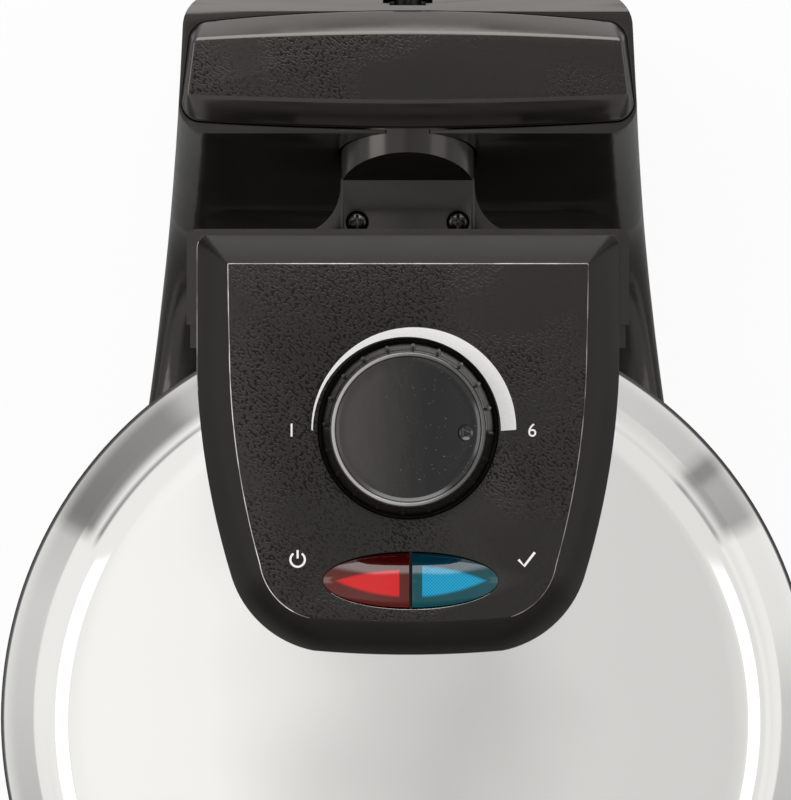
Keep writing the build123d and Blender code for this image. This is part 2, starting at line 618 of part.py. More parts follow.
def tray_runner():
    """Sheet floor of the bay, which the drip tray slides on."""
    w = TRAY_HALF_W + 0.5
    return block(-w, w, -98.0, TRAY_BACK_Y + 0.9, SHELL_FOOT_Z, SHELL_FOOT_Z + 1.6)


def feet():
    """Six rubber feet under the edges of the base."""
    spots = [(66.0, -48.0), (66.0, 60.0), (56.0, 184.0)]
    out = []
    for x, y in spots:
        for s in (1, -1):
            foot = turned([(0, 0), (4.6, 0), (5.4, 0.8), (5.4, SHELL_FOOT_Z), (0, SHELL_FOOT_Z)])
            out.append(Pos(s * x, y, 0) * foot)
    return out


def drip_tray():
    """Shallow tray with a rolled rim and a finger pull in front."""
    w = TRAY_HALF_W
    z0, z1 = SHELL_FOOT_Z + 1.9, 22.0
    depth = TRAY_BACK_Y - TRAY_FRONT_Y
    mid = (TRAY_BACK_Y + TRAY_FRONT_Y) / 2
    body = extrude(Pos(0, mid, z0) * RectangleRounded(2 * w, depth, 6.0), z1 - z0)
    inner = extrude(Pos(0, mid, TRAY_FLOOR_Z - 1.2) * RectangleRounded(2 * w - 4, depth - 4, 5.0),
                    30.0)
    lip = make_face(Wire([
        Line((-30, TRAY_FRONT_Y + 1.0, 18.6), (30, TRAY_FRONT_Y + 1.0, 18.6)),
        Line((30, TRAY_FRONT_Y + 1.0, 18.6), (26, TRAY_FRONT_Y - 9.0, 18.6)),
        ThreePointArc((26, TRAY_FRONT_Y - 9.0, 18.6), (0, TRAY_FRONT_Y - 12.4, 18.6),
                      (-26, TRAY_FRONT_Y - 9.0, 18.6)),
        Line((-26, TRAY_FRONT_Y - 9.0, 18.6), (-30, TRAY_FRONT_Y + 1.0, 18.6)),
    ]))
    return body - inner + extrude(lip, 3.4)


# Handles in front

def lid_handle():
    """Short upper grip on the lid ring."""
    z0, z1 = AXIS_Z + GAP + 1.2, AXIS_Z + RIM_H - 1.0
    plan = make_face(Wire([
        Line((-26, -104.0, z0), (26, -104.0, z0)),
        Line((26, -104.0, z0), (23, -124.0, z0)),
        ThreePointArc((23, -124.0, z0), (0, -131.0, z0), (-23, -124.0, z0)),
        Line((-23, -124.0, z0), (-26, -104.0, z0)),
    ]))
    body = extrude(plan, z1 - z0)
    body = body - turned([(0, 100), (RIM_R + 0.01, 100), (RIM_R + 0.01, 200), (0, 200)])
    return fillet(body.edges().group_by(Axis.Z)[-1], 3.0)


def handle_bracket():
    """Two lugs on the lower ring that carry the folding handle."""
    out = []
    for s in (1, -1):
        x0, x1 = sorted((s * 20.4, s * 26.0))
        lug = side_slab([(-106.0, AXIS_Z - 13.0), (-106.0, AXIS_Z - 2.0),
                         (FOLD_Y, FOLD_Z + 6.5), (FOLD_Y, FOLD_Z - 6.5)], x0, x1)
        out.append(lug + cyl_x(6.5, x0, x1, FOLD_Y, FOLD_Z))
    web = block(-26.0, 26.0, -112.0, -108.0, AXIS_Z - 13.0, AXIS_Z - 2.0)
    body = add(out + [web])
    body = body - turned([(0, 100), (RIM_R + 0.01, 100), (RIM_R + 0.01, 200), (0, 200)])
    return body - cyl_x(FOLD_PIN_R, -40, 40, FOLD_Y, FOLD_Z)


def flip_handle():
    """Folding grip used to flip the head: hub between the lugs and a wide flat paddle."""
    z0, z1 = FOLD_Z - 7.0, FOLD_Z + 7.0
    plan = make_face(Wire([
        Line((-19.6, FOLD_Y + 1.0, z0), (19.6, FOLD_Y + 1.0, z0)),
        Line((19.6, FOLD_Y + 1.0, z0), (20.0, FOLD_Y - 9.0, z0)),
        ThreePointArc((20.0, FOLD_Y - 9.0, z0), (25.6, FOLD_Y - 22.0, z0),
                      (28.0, FOLD_Y - 36.0, z0)),
        ThreePointArc((28.0, FOLD_Y - 36.0, z0), (0, -FRONT_REACH, z0),
                      (-28.0, FOLD_Y - 36.0, z0)),
        ThreePointArc((-28.0, FOLD_Y - 36.0, z0), (-25.6, FOLD_Y - 22.0, z0),
                      (-20.0, FOLD_Y - 9.0, z0)),
        Line((-20.0, FOLD_Y - 9.0, z0), (-19.6, FOLD_Y + 1.0, z0)),
    ]))
    body = extrude(plan, z1 - z0)
    body = fillet(body.faces().sort_by(Axis.Z)[-1].edges().filter_by(GeomType.CIRCLE), 4.0)
    hub = cyl_x(7.0, -19.6, 19.6, FOLD_Y, FOLD_Z)
    return body + hub - cyl_x(FOLD_PIN_R + RUN_GAP, -40, 40, FOLD_Y, FOLD_Z)


def handle_pin():
    return cyl_x(FOLD_PIN_R, -26.4, 26.4, FOLD_Y, FOLD_Z)


# Mains lead: exit, free stretch, coil and plug

def strain_relief():
    """Moulded relief round the twin lead: two lobes, a flange in the rim, a notched taper."""
    z, y0, y1 = CORD_EXIT_Z, 188.0, 197.6
    lobes = add([cyl_y(LOBE_R, y0, y1, x=s * LOBE_X, z=z) for s in (1, -1)])
    web = block(-LOBE_X, LOBE_X, y0, y1, z - LOBE_R + 0.5, z + LOBE_R - 0.5)
    flange = block(-6.4, 6.4, 193.4, 194.4, z - 4.0, z + 1.4)
    sleeve = revolve(make_face(Polyline((0, y1 - 0.2, z), (4.7, y1 - 0.2, z),
                                        (3.8, CORD_EXIT_Y, z), (0, CORD_EXIT_Y, z),
                                        close=True)),
                     Axis((0, 0, z), (0, 1, 0)))
    body = lobes + web + flange + sleeve
    for i in range(4):
        y = 200.6 + i * 3.9
        body = body - (cyl_y(8, y, y + 1.3, z=z) - cyl_y(3.4, y - 1, y + 3, z=z))
    return body


# Route of the free stretch: out of the relief, down the back, then along the table
LEAD = [(0.0, CORD_EXIT_Y, CORD_EXIT_Z), (0.0, 237.5, CORD_EXIT_Z), (0.6, 255.8, 146.6),
        (2.0, 270.7, 134.1), (4.8, 279.0, 115.5), (9.4, 280.7, 90.2), (15.8, 277.5, 63.2),
        (23.2, 276.7, 39.0), (30.0, 284.0, 20.9), (35.2, 298.2, 8.4),
        (COIL_R, 316.3, CORD_LAY_Z), (COIL_R, 334.8, CORD_LAY_Z)]


def tube(points, r):
    """Round tube along straight runs joined by the largest tangent arcs they allow."""
    v = [Vector(*p) for p in points]
    radii = []
    for a, b, c in zip(v, v[1:], v[2:]):
        turn = radians((b - a).get_angle(c - b))
        radii.append(0.45 * min((b - a).length, (c - b).length) / tan(turn / 2))
    line = FilletPolyline(*points, radius=radii)
    print("lead radii", [round(q, 1) for q in radii], "length", round(line.length, 1))
    solid = sweep(Plane(origin=line @ 0, z_dir=line % 0) * Circle(r), path=line)
    print("lead volume over section times length", round(solid.volume / (pi * r * r * line.length), 4))
    return solid


def coil_point(t):
    """Middle of the coiled lead after t turns: in along the table, up a layer, out again."""
    half = COIL_TURNS / 2
    r = COIL_R - COIL_PITCH * min(t, COIL_TURNS - t)
    rise = min(max((t - half + 0.25) / 0.5, 0.0), 1.0)
    z = CORD_LAY_Z + COIL_LAYER * rise * rise * (3 - 2 * rise)
    a = 2 * pi * t
    return Vector(COIL_C[0] + r * cos(a), COIL_C[1] + r * sin(a), z)


def coil_heading(t):
    """Unit direction of the coiled lead after t turns; plainly round at both ends."""
    step = 0.02
    if t < step or t > COIL_TURNS - step:
        a = 2 * pi * t
        return Vector(-sin(a), cos(a), 0)
    return (coil_point(t + step) - coil_point(t - step)).normalized()


def biarc(p0, t0, p1, t1):
    """Two tangent arcs that leave p0 along t0 and reach p1 along t1."""
    v = p1 - p0
    q = 2 * (1 - t0.dot(t1))
    both = v.dot(t0 + t1)
    d = (sqrt(both * both + q * v.dot(v)) - both) / q
    joint = (p0 + p1 + (t0 - t1) * d) * 0.5
    return [TangentArc(p0, joint, tangent=t0),
            TangentArc(joint, p1, tangent=v - (t0 + t1) * d)]


def coil():
    """Put-away coil: one unbroken tube, two layers of turns, with short straight ends."""
    steps = int(COIL_TURNS * 4)
    marks = [COIL_TURNS * i / steps for i in range(steps + 1)]
    points = [coil_point(t) for t in marks]
    ways = [coil_heading(t) for t in marks]
    straight = 2 * CORD_R
    edges = [Line(points[0] - ways[0] * straight, points[0])]
    for i in range(steps):
        edges += biarc(points[i], ways[i], points[i + 1], ways[i + 1])
    edges.append(Line(points[-1], points[-1] + ways[-1] * straight))
    path = Wire(edges)
    solid = sweep(Plane(origin=points[0] - ways[0] * straight, z_dir=ways[0]) * Circle(CORD_R),
                  path=path)
    fine = [coil_point(COIL_TURNS * i / 400) for i in range(401)]
    apart = 400 // (2 * ceil(COIL_TURNS))
    gap = min((fine[i] - fine[j]).length for i in range(401) for j in range(i + apart, 401))
    print("coil length", round(path.length, 1), "least gap", round(gap - 2 * CORD_R, 2))
    print("coil volume over section times length",
          round(solid.volume / (pi * CORD_R ** 2 * path.length), 4))
    return solid


def plug():
    """Moulded two-pin plug lying beside the coil, with its tapered relief."""
    x, z = COIL_C[0] - COIL_R, CORD_LAY_Z + COIL_LAYER
    y_end = COIL_C[1] - 2 * CORD_R
    sleeve = revolve(make_face(Polyline((x, y_end, z), (x + 3.7, y_end, z),
                                        (x + 5.2, y_end - 23.0, z), (x, y_end - 23.0, z),
                                        close=True)), Axis((x, 0, z), (0, 1, 0)))
    y0 = y_end - 22.5
    rear = Plane(origin=(x, y0, z), x_dir=(1, 0, 0), z_dir=(0, -1, 0))
    body = loft([(rear * RectangleRounded(15.0, 12.0, 4.0)).face(),
                 (rear.offset(9.0) * RectangleRounded(24.0, 2 * z - 0.4, 5.0)).face(),
                 (rear.offset(27.0) * RectangleRounded(24.0, 2 * z - 0.4, 5.0)).face()],
                ruled=True)
    return sleeve + body


def plug_blades():
    """Two flat brass blades of the plug."""
    x, z = COIL_C[0] - COIL_R, CORD_LAY_Z + COIL_LAYER
    y1 = COIL_C[1] - 2 * CORD_R - 22.5 - 27.0
    out = []
    for s in (1, -1):
        blade = block(x + s * 6.35 - 0.75, x + s * 6.35 + 0.75, y1 - 16.5, y1, z - 3.2, z + 3.2)
        out.append(blade - cyl_x(1.6, x - 20, x + 20, y1 - 12.5, z))
    return out


def main():
    os.makedirs("parts", exist_ok=True)
    place = Location((0, SHIFT_Y, 0))

    def write(name, shape):
        solids = shape if isinstance(shape, list) else [shape]
        flat = [s for piece in solids for s in piece.solids()]
        moved = [s.moved(place) for s in flat]
        out = moved[0] if len(moved) == 1 else Compound(children=moved)
        export_step(out, f"parts/{name}.step")

    write("base_shell", base_shell())
    write("tower_cap", tower_cap())
    write("bottom_plate", bottom_plate())
    write("tray_runner", tray_runner())
    write("rubber_feet", feet())
    write("drip_tray", drip_tray())
    write("front_bush", bush(162.0, 167.0, SLEEVE_R + RUN_GAP, BUSH_R))
    write("rear_bush", bush(178.0, 184.0, SHAFT_R + RUN_GAP, 16.0))
    write("flip_stop_ring", stop_ring())
    write("hinge_carrier", carrier())
    write("hinge_screws", hinge_screws())
    write("hinge_pin", hinge_pin())
    write("shaft_clip", shaft_clip())
    write("lower_ring", ring(lower=True))
    write("lower_cover", cover(lower=True))
    write("lower_waffle_plate", waffle_plate(lower=True))
    write("lower_heater", heater(lower=True))
    write("lower_reflector", reflector(lower=True))
    write("upper_ring", ring())
    write("lid_cover", cover())
    write("upper_waffle_plate", waffle_plate())
    write("upper_heater", heater())
    write("upper_reflector", reflector())
    write("panel_housing", panel_housing())
    write("control_panel", control_panel())
    write("power_lens", lens(True))
    write("ready_lens", lens(False))
    write("power_lamp", lamp(LENS_C[0] - 11.0))
    write("ready_lamp", lamp(LENS_C[0] + 11.0))
    write("dial_knob", knob())
    write("thermostat", thermostat())
    write("lid_handle", lid_handle())
    write("handle_bracket", handle_bracket())
    write("flip_handle", flip_handle())
    write("handle_pin", handle_pin())
    write("strain_relief", strain_relief())
    write("lead", tube(LEAD, CORD_R))
    write("lead_coil", coil())
    write("plug", plug())
    write("plug_blades", plug_blades())


if __name__ == "__main__":
    main()
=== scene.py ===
import json
from math import atan2, cos, degrees, hypot, pi, radians, sin, sqrt
import bmesh
import bpy
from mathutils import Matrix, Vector


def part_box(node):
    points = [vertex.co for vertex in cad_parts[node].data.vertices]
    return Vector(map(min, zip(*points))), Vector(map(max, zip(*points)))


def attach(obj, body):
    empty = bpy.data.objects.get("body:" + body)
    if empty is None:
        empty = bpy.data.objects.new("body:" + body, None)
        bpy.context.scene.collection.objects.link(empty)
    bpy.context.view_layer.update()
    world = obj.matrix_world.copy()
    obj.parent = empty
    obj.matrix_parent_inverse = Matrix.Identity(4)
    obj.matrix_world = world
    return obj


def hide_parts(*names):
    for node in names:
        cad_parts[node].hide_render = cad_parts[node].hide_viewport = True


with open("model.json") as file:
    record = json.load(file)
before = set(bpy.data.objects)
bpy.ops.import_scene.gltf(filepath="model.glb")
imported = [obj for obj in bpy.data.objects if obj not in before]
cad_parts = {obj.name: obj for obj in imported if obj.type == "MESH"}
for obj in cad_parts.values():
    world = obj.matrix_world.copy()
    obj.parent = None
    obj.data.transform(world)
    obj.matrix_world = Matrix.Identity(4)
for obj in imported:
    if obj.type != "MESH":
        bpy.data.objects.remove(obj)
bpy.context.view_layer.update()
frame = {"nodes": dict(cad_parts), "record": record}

# The photograph's view: straight down on the rear half of the head, the panel and the tower.
# The lid's rim is 3.70 px to the millimetre, and the lens stands 1.2 m above it. The picture
# is 791 x 800 px, and its middle falls 86.1 mm behind the middle of the lid.
MM = 0.001
lid_low, lid_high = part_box("lid_cover")
HEAD_Y = (lid_low[1] + lid_high[1]) / 2
RIM_Z = 160 * MM
PX_PER_MM = 3.70
VIEW_ABOVE_RIM = 1200 * MM
VIEW_X, VIEW_BEHIND_HEAD = -3.3 * MM, 86.1 * MM
PHOTO_H = 800
SENSOR = 24.0


def link(name, data):
    """An object in the scene, from its mesh, curve, lamp or camera."""
    made = bpy.data.objects.new(name, data)
    bpy.context.scene.collection.objects.link(made)
    return made


camera_data = bpy.data.cameras.new("photo_view")
camera_data.sensor_fit = "VERTICAL"
camera_data.sensor_height = SENSOR
camera_data.lens = SENSOR * PX_PER_MM * VIEW_ABOVE_RIM / MM / PHOTO_H
camera_data.clip_start = 0.01
camera = link("photo_view", camera_data)
camera.location = (VIEW_X, HEAD_Y + VIEW_BEHIND_HEAD, RIM_Z + VIEW_ABOVE_RIM)
bpy.context.scene.camera = camera
bpy.context.scene.view_settings.view_transform = "Standard"


# Studio: a white sweep under the cooker in a white room. What is polished also sees three soft
# boxes, behind and at both sides, and a ring of grey cards that stands low all round.
WHITE = (1, 1, 1, 1)
ROOM_GREY = (0.86, 0.86, 0.86, 1)
SOFT_ENDS = {"interpolation_type": "SMOOTHSTEP"}
BLOTCH_SCALE, BLOTCH_SWAY = 7.0, 0.16         # blotches that keep the ceiling's bands uneven
HORIZON_TOP, CEILING_FROM = 0.08, 0.24        # the horizon's band gives way to the ceiling
# brightness overhead from left to right, as (place, grey)
CEILING = [(0.0, 0.95), (0.26, 1.04), (0.325, 1.02), (0.40, 0.86), (0.47, 0.72),
           (0.50, 0.66), (0.55, 0.60), (0.64, 0.74), (0.80, 0.72), (1.0, 0.85)]
# brightness of the cards and of the horizon: 0 left, 0.25 front, 0.5 right, 0.75 behind
CARDS = [(0.0, 0.66), (0.05, 0.55), (0.085, 0.2), (0.2, 0.15), (0.3, 0.15), (0.415, 0.25),
         (0.45, 0.58), (0.5, 0.66), (0.53, 0.86), (0.572, 0.9), (0.576, 0.42), (0.597, 0.48),
         (0.604, 0.2), (0.611, 0.62), (0.68, 0.72), (0.71, 1.9), (0.79, 1.9), (0.82, 0.6),
         (0.85, 0.58), (0.862, 0.3), (0.921, 0.22), (0.929, 0.62), (0.96, 0.7), (1.0, 0.66)]
HORIZON = [(0.0, 0.96), (0.05, 0.9), (0.085, 0.5), (0.2, 0.3), (0.3, 0.3), (0.415, 0.5),
           (0.45, 0.95), (0.572, 0.97), (0.576, 0.38), (0.597, 0.42), (0.604, 0.25),
           (0.611, 0.76), (0.68, 0.76), (0.71, 1.6), (0.79, 1.6), (0.82, 0.6), (0.85, 0.58),
           (0.862, 0.3), (0.922, 0.26), (0.929, 0.96), (1.0, 0.96)]


def linear(hex_colour):
    """sRGB hex to the linear colour that the shaders take."""
    out = []
    for i in (0, 2, 4):
        c = int(hex_colour[i:i + 2], 16) / 255
        out.append(c / 12.92 if c <= 0.04045 else ((c + 0.055) / 1.055) ** 2.4)
    return (*out, 1.0)


def set_inputs(node, inputs):
    """Sets or links a node's inputs, given in order or by name, as values, sockets or nodes.
    Only the sockets that its settings leave in use count."""
    sockets = [socket for socket in node.inputs if socket.enabled]
    if isinstance(inputs, dict):
        named = {socket.name: socket for socket in sockets}
        sockets = [named[name] for name in inputs]
        inputs = inputs.values()
    for socket, value in zip(sockets, inputs):
        if isinstance(value, bpy.types.Node):
            value = next(output for output in value.outputs if output.enabled)
        if isinstance(value, bpy.types.NodeSocket):
            node.id_data.links.new(value, socket)
        else:
            socket.default_value = value


def add_node(tree, kind, inputs=(), **settings):
    """One node with its settings and its inputs."""
    made = tree.nodes.new(kind)
    for key, value in settings.items():
        setattr(made, key, value)
    set_inputs(made, inputs)
    return made


def empty_tree(owner):
    """The node tree of a world or a material, with nothing in it."""
    owner.use_nodes = True
    owner.node_tree.nodes.clear()
    return owner.node_tree


def paint_stops(ramp, greys):
    """Gives a colour ramp its greys, from (place, grey) pairs."""
    stops = ramp.color_ramp.elements
    while len(stops) < len(greys):
        stops.new(0.5)
    for stop, (place, grey) in zip(stops, greys):
        stop.position = place
        stop.color = (grey, grey, grey, 1)


def soft_box(tree, turn, height, half_width, middle, half_height, strength):
    """Soft-edged bright patch of the room, about turn 0 and a height above the horizon."""
    aside = add_node(tree, "ShaderNodeMath", [turn], operation="ABSOLUTE")
    wide = add_node(tree, "ShaderNodeMapRange",
                    [aside, half_width * 0.75, half_width * 1.25, 1.0, 0.0], **SOFT_ENDS)
    off = add_node(tree, "ShaderNodeMath", [height, middle], operation="SUBTRACT")
    off = add_node(tree, "ShaderNodeMath", [off], operation="ABSOLUTE")
    tall = add_node(tree, "ShaderNodeMapRange",
                    [off, half_height * 0.85, half_height * 1.15, strength, 0.0], **SOFT_ENDS)
    return add_node(tree, "ShaderNodeMath", [wide, tall], operation="MULTIPLY")


world = bpy.data.worlds.new("white_studio")
bpy.context.scene.world = world
tree = empty_tree(world)
way = add_node(tree, "ShaderNodeTexCoord").outputs["Generated"]
x, y, z = add_node(tree, "ShaderNodeSeparateXYZ", [way]).outputs
blotch = add_node(tree, "ShaderNodeTexNoise", {"Vector": way, "Scale": BLOTCH_SCALE,
                                               "Detail": 1.0})
sway = add_node(tree, "ShaderNodeMath", [blotch, BLOTCH_SWAY, -BLOTCH_SWAY / 2],
                operation="MULTIPLY_ADD")
swayed = add_node(tree, "ShaderNodeMath", [x, sway], operation="ADD")
left_to_right = add_node(tree, "ShaderNodeMapRange", [swayed, -0.5, 0.5])
overhead = add_node(tree, "ShaderNodeValToRGB", [left_to_right])
paint_stops(overhead, CEILING)
turn = add_node(tree, "ShaderNodeMath", [y, x], operation="ARCTAN2")
around = add_node(tree, "ShaderNodeValToRGB", [
    add_node(tree, "ShaderNodeMapRange", [turn, -pi, pi])])
paint_stops(around, HORIZON)
lift = add_node(tree, "ShaderNodeMapRange", [z, HORIZON_TOP, CEILING_FROM], **SOFT_ENDS)
room = add_node(tree, "ShaderNodeMix", [lift, around, overhead], data_type="RGBA")
from_behind = add_node(tree, "ShaderNodeMath", [turn, pi / 2], operation="SUBTRACT")
behind = soft_box(tree, from_behind, z, half_width=0.55, middle=0.572, half_height=0.334,
                  strength=4.6)
mirrored_x = add_node(tree, "ShaderNodeMath", [x, -1.0], operation="MULTIPLY")
from_left = add_node(tree, "ShaderNodeMath", [y, mirrored_x], operation="ARCTAN2")
at_left = soft_box(tree, from_left, z, half_width=0.35, middle=0.6, half_height=0.18,
                   strength=2.6)
at_right = soft_box(tree, turn, z, half_width=0.35, middle=0.6, half_height=0.18, strength=1.0)
boxes = add_node(tree, "ShaderNodeMath", [behind, at_left], operation="ADD")
boxes = add_node(tree, "ShaderNodeMath", [boxes, at_right], operation="ADD")
shiny = add_node(tree, "ShaderNodeMix", [1.0, room, boxes], data_type="RGBA", blend_type="ADD")
path = add_node(tree, "ShaderNodeLightPath").outputs
lit = add_node(tree, "ShaderNodeMix", [path["Is Glossy Ray"], ROOM_GREY, shiny],
               data_type="RGBA")
backdrop = add_node(tree, "ShaderNodeMix", [path["Is Camera Ray"], lit, WHITE],
                    data_type="RGBA")
sky = add_node(tree, "ShaderNodeBackground", [backdrop, 1.0])
add_node(tree, "ShaderNodeOutputWorld", [sky])


def stage_piece(name, verts, faces, material):
    """A part of the studio, which isn't part of the cooker."""
    mesh = bpy.data.meshes.new(name)
    mesh.from_pydata(verts, [], faces)
    mesh.materials.append(material)
    link(name, mesh)


# the sweep's paint: matte white, which the eye and what is polished see as plain white
SWEEP_REACH = 6.0
floor_paint = bpy.data.materials.new("white_sweep")
tree = empty_tree(floor_paint)
paint = add_node(tree, "ShaderNodeBsdfDiffuse", [linear("f4f4f2")])
glow = add_node(tree, "ShaderNodeEmission", [WHITE, 1.0])
path = add_node(tree, "ShaderNodeLightPath").outputs
seen = add_node(tree, "ShaderNodeMath", [path["Is Camera Ray"], path["Is Glossy Ray"]],
                operation="MAXIMUM")
seen = add_node(tree, "ShaderNodeMath", [seen, path["Is Transmission Ray"]],
                operation="MAXIMUM")
where = add_node(tree, "ShaderNodeTexCoord").outputs["Object"]
far = add_node(tree, "ShaderNodeVectorMath", [where], operation="LENGTH")
plain = add_node(tree, "ShaderNodeMapRange", [far, 0.25, 0.6, 0.93, 1.0], **SOFT_ENDS)
share = add_node(tree, "ShaderNodeMath", [seen, plain], operation="MULTIPLY")
both = add_node(tree, "ShaderNodeMixShader", [share, paint, glow])
add_node(tree, "ShaderNodeOutputMaterial", [both])
stage_piece("floor", [(-SWEEP_REACH, -SWEEP_REACH, 0), (SWEEP_REACH, -SWEEP_REACH, 0),
                      (SWEEP_REACH, SWEEP_REACH, 0), (-SWEEP_REACH, SWEEP_REACH, 0)],
            [(0, 1, 2, 3)], floor_paint)

# the cards, which only what is polished sees: a flat grey mat under the cooker that rises
# outside into a sloping ring
MAT_R, CARD_LOW_R, CARD_HIGH_R = 0.02, 0.30, 0.95
MAT_Z, CARD_TOP_Z = 0.001, 0.19
PALE_TOP = 0.06               # the floor's white shines on the cards' foot up to here
MAT_TONE = 0.27
CARD_STEPS = 96
card_grey = bpy.data.materials.new("grey_card")
tree = empty_tree(card_grey)
where = add_node(tree, "ShaderNodeTexCoord").outputs["Object"]
about = add_node(tree, "ShaderNodeMapping", {"Vector": where, "Location": (0, -HEAD_Y, 0)})
x, y, z = add_node(tree, "ShaderNodeSeparateXYZ", [about]).outputs
turn = add_node(tree, "ShaderNodeMath", [y, x], operation="ARCTAN2")
tone = add_node(tree, "ShaderNodeValToRGB", [
    add_node(tree, "ShaderNodeMapRange", [turn, -pi, pi])])
paint_stops(tone, CARDS)
level = add_node(tree, "ShaderNodeCombineXYZ", [x, y])
out = add_node(tree, "ShaderNodeVectorMath", [level], operation="LENGTH")
past_mat = add_node(tree, "ShaderNodeMapRange", [out, CARD_LOW_R - 0.03, CARD_LOW_R + 0.05],
                    **SOFT_ENDS)
low = add_node(tree, "ShaderNodeMapRange", [z, 0.0, PALE_TOP, 0.6, 0.0], **SOFT_ENDS)
foot = add_node(tree, "ShaderNodeMath", [past_mat, low], operation="MULTIPLY")
dimmed = add_node(tree, "ShaderNodeMix", [past_mat, (MAT_TONE, MAT_TONE, MAT_TONE, 1), tone],
                  data_type="RGBA")
pale = add_node(tree, "ShaderNodeMix", [foot, dimmed, WHITE], data_type="RGBA",
                blend_type="SCREEN")
glow = add_node(tree, "ShaderNodeEmission", [pale, 1.0])
clear = add_node(tree, "ShaderNodeBsdfTransparent")
path = add_node(tree, "ShaderNodeLightPath").outputs
both = add_node(tree, "ShaderNodeMixShader", [path["Is Glossy Ray"], clear, glow])
add_node(tree, "ShaderNodeOutputMaterial", [both])


def between_rings(rings, count):
    """Faces that join rings of equally many points, each ring closed on itself."""
    faces = []
    for first in range(0, (rings - 1) * count, count):
        for k in range(count):
            q = (k + 1) % count
            faces.append((first + k, first + q, first + count + q, first + count + k))
    return faces


turns = [2 * pi * k / CARD_STEPS for k in range(CARD_STEPS)]
card_rings = ((MAT_R, MAT_Z), (CARD_LOW_R, MAT_Z), (CARD_HIGH_R, CARD_TOP_Z))
stage_piece("grey_cards", [(r * cos(a), r * sin(a) + HEAD_Y, h) for r, h in card_rings
                           for a in turns], between_rings(len(card_rings), CARD_STEPS), card_grey)

# a square soft lamp above the left draws the soft shadows
LAMP_PLACE, LAMP_AIM, LAMP_SIZE, LAMP_WATTS = (-1.2, 0.3, 1.8), (0, 0.05, 0.1), 0.9, 9
lamp_data = bpy.data.lights.new("left_overhead_light", "AREA")
lamp_data.shape = "SQUARE"
lamp_data.size = LAMP_SIZE
lamp_data.energy = LAMP_WATTS
lamp = link("left_overhead_light", lamp_data)
lamp.location = LAMP_PLACE
lamp.rotation_euler = (Vector(LAMP_AIM) - Vector(LAMP_PLACE)).to_track_quat("-Z", "Y").to_euler()
lamp.visible_glossy = False


# Mains lead, 0.76 m: a flat twin lead in an extruded PVC jacket. It leaves the notch in the
# tower's rear rim, comes down behind the cooker, and is put away in a small coil there.
LEAD_W, LEAD_T = 6.3 * MM, 3.3 * MM
EXIT_Y, EXIT_Z = 219.0, 151.5
LAY_Z = 3.45
COIL_X, COIL_Y, COIL_R = 0.0, 341.2, 38.0
COIL_PITCH, COIL_LAYER, COIL_TURNS = 7.6, 7.0, 2.5
POINTS_PER_TURN = 16
PLUG_RUN = 6.4                # straight run from the coil to the plug
FLAT_RUN, TWIST_RUN = 60 * MM, 150 * MM       # the lead leaves flat, then turns on edge
GROOVE_SHARE = 0.34           # depth of the groove between the cores, as a share of a core
SECTION_POINTS = 28


def eased(t):
    """Goes from 0 to 1 as t does, with soft ends."""
    t = min(max(t, 0.0), 1.0)
    return t * t * (3 - 2 * t)


def at_head(x, y, z):
    """A place in millimetres about the head's middle, in the frame's metres."""
    return (x * MM, y * MM + HEAD_Y, z * MM)


route = [(0.0, EXIT_Y, EXIT_Z), (0.0, 237.5, EXIT_Z), (0.6, 255.8, 146.6),
         (2.0, 270.7, 134.1), (4.8, 279.0, 115.5), (9.4, 280.7, 90.2), (15.8, 277.5, 63.2),
         (23.2, 276.7, 39.0), (30.0, 284.0, 20.9), (35.2, 298.2, 8.4),
         (COIL_R, 316.3, LAY_Z), (COIL_R, 334.8, LAY_Z)]
for i in range(int(COIL_TURNS * POINTS_PER_TURN) + 1):
    t = i / POINTS_PER_TURN
    r = COIL_R - COIL_PITCH * min(t, COIL_TURNS - t)
    r *= 1 / cos(pi / POINTS_PER_TURN) ** 0.5
    z = LAY_Z + COIL_LAYER * eased((t - COIL_TURNS / 2 + 0.25) / 0.5)
    route.append((COIL_X + r * cos(2 * pi * t), COIL_Y + r * sin(2 * pi * t), z))
route.append((COIL_X - COIL_R, COIL_Y - PLUG_RUN, LAY_Z + COIL_LAYER))


def nurbs_line(points):
    """Points along the smooth line that the route's points control."""
    curve = bpy.data.curves.new("lead_line", "CURVE")
    curve.dimensions = "3D"
    spline = curve.splines.new("NURBS")
    spline.points.add(len(points) - 1)
    for knot, p in zip(spline.points, points):
        knot.co = (*at_head(*p), 1)
    spline.order_u = 3
    spline.use_endpoint_u = True
    spline.resolution_u = 8
    holder = link("lead_line", curve)
    mesh = bpy.data.meshes.new_from_object(holder)
    line = [Vector(v.co) for v in mesh.vertices]
    bpy.data.objects.remove(holder)
    bpy.data.meshes.remove(mesh)
    return line


def twin_section(count):
    """Cross-section of a flat twin lead: two round cores with a groove between them."""
    core = LEAD_T / 2
    section = []
    for k in range(count):
        a = 2 * pi * k / count
        x = (LEAD_W / 2 - core) * (1 if cos(a) > 0 else -1) * min(1, abs(cos(a)) * 2.2)
        groove = 1 - GROOVE_SHARE * max(0.0, 1 - abs(cos(a)) * 2.4) ** 1.5
        section.append((x + core * cos(a), core * sin(a) * groove))
    return section


def smooth(mesh, angle):
    """Smooth shading that keeps the creases sharper than the angle."""
    for face in mesh.polygons:
        face.use_smooth = True
    mesh.set_sharp_from_angle(angle=radians(angle))


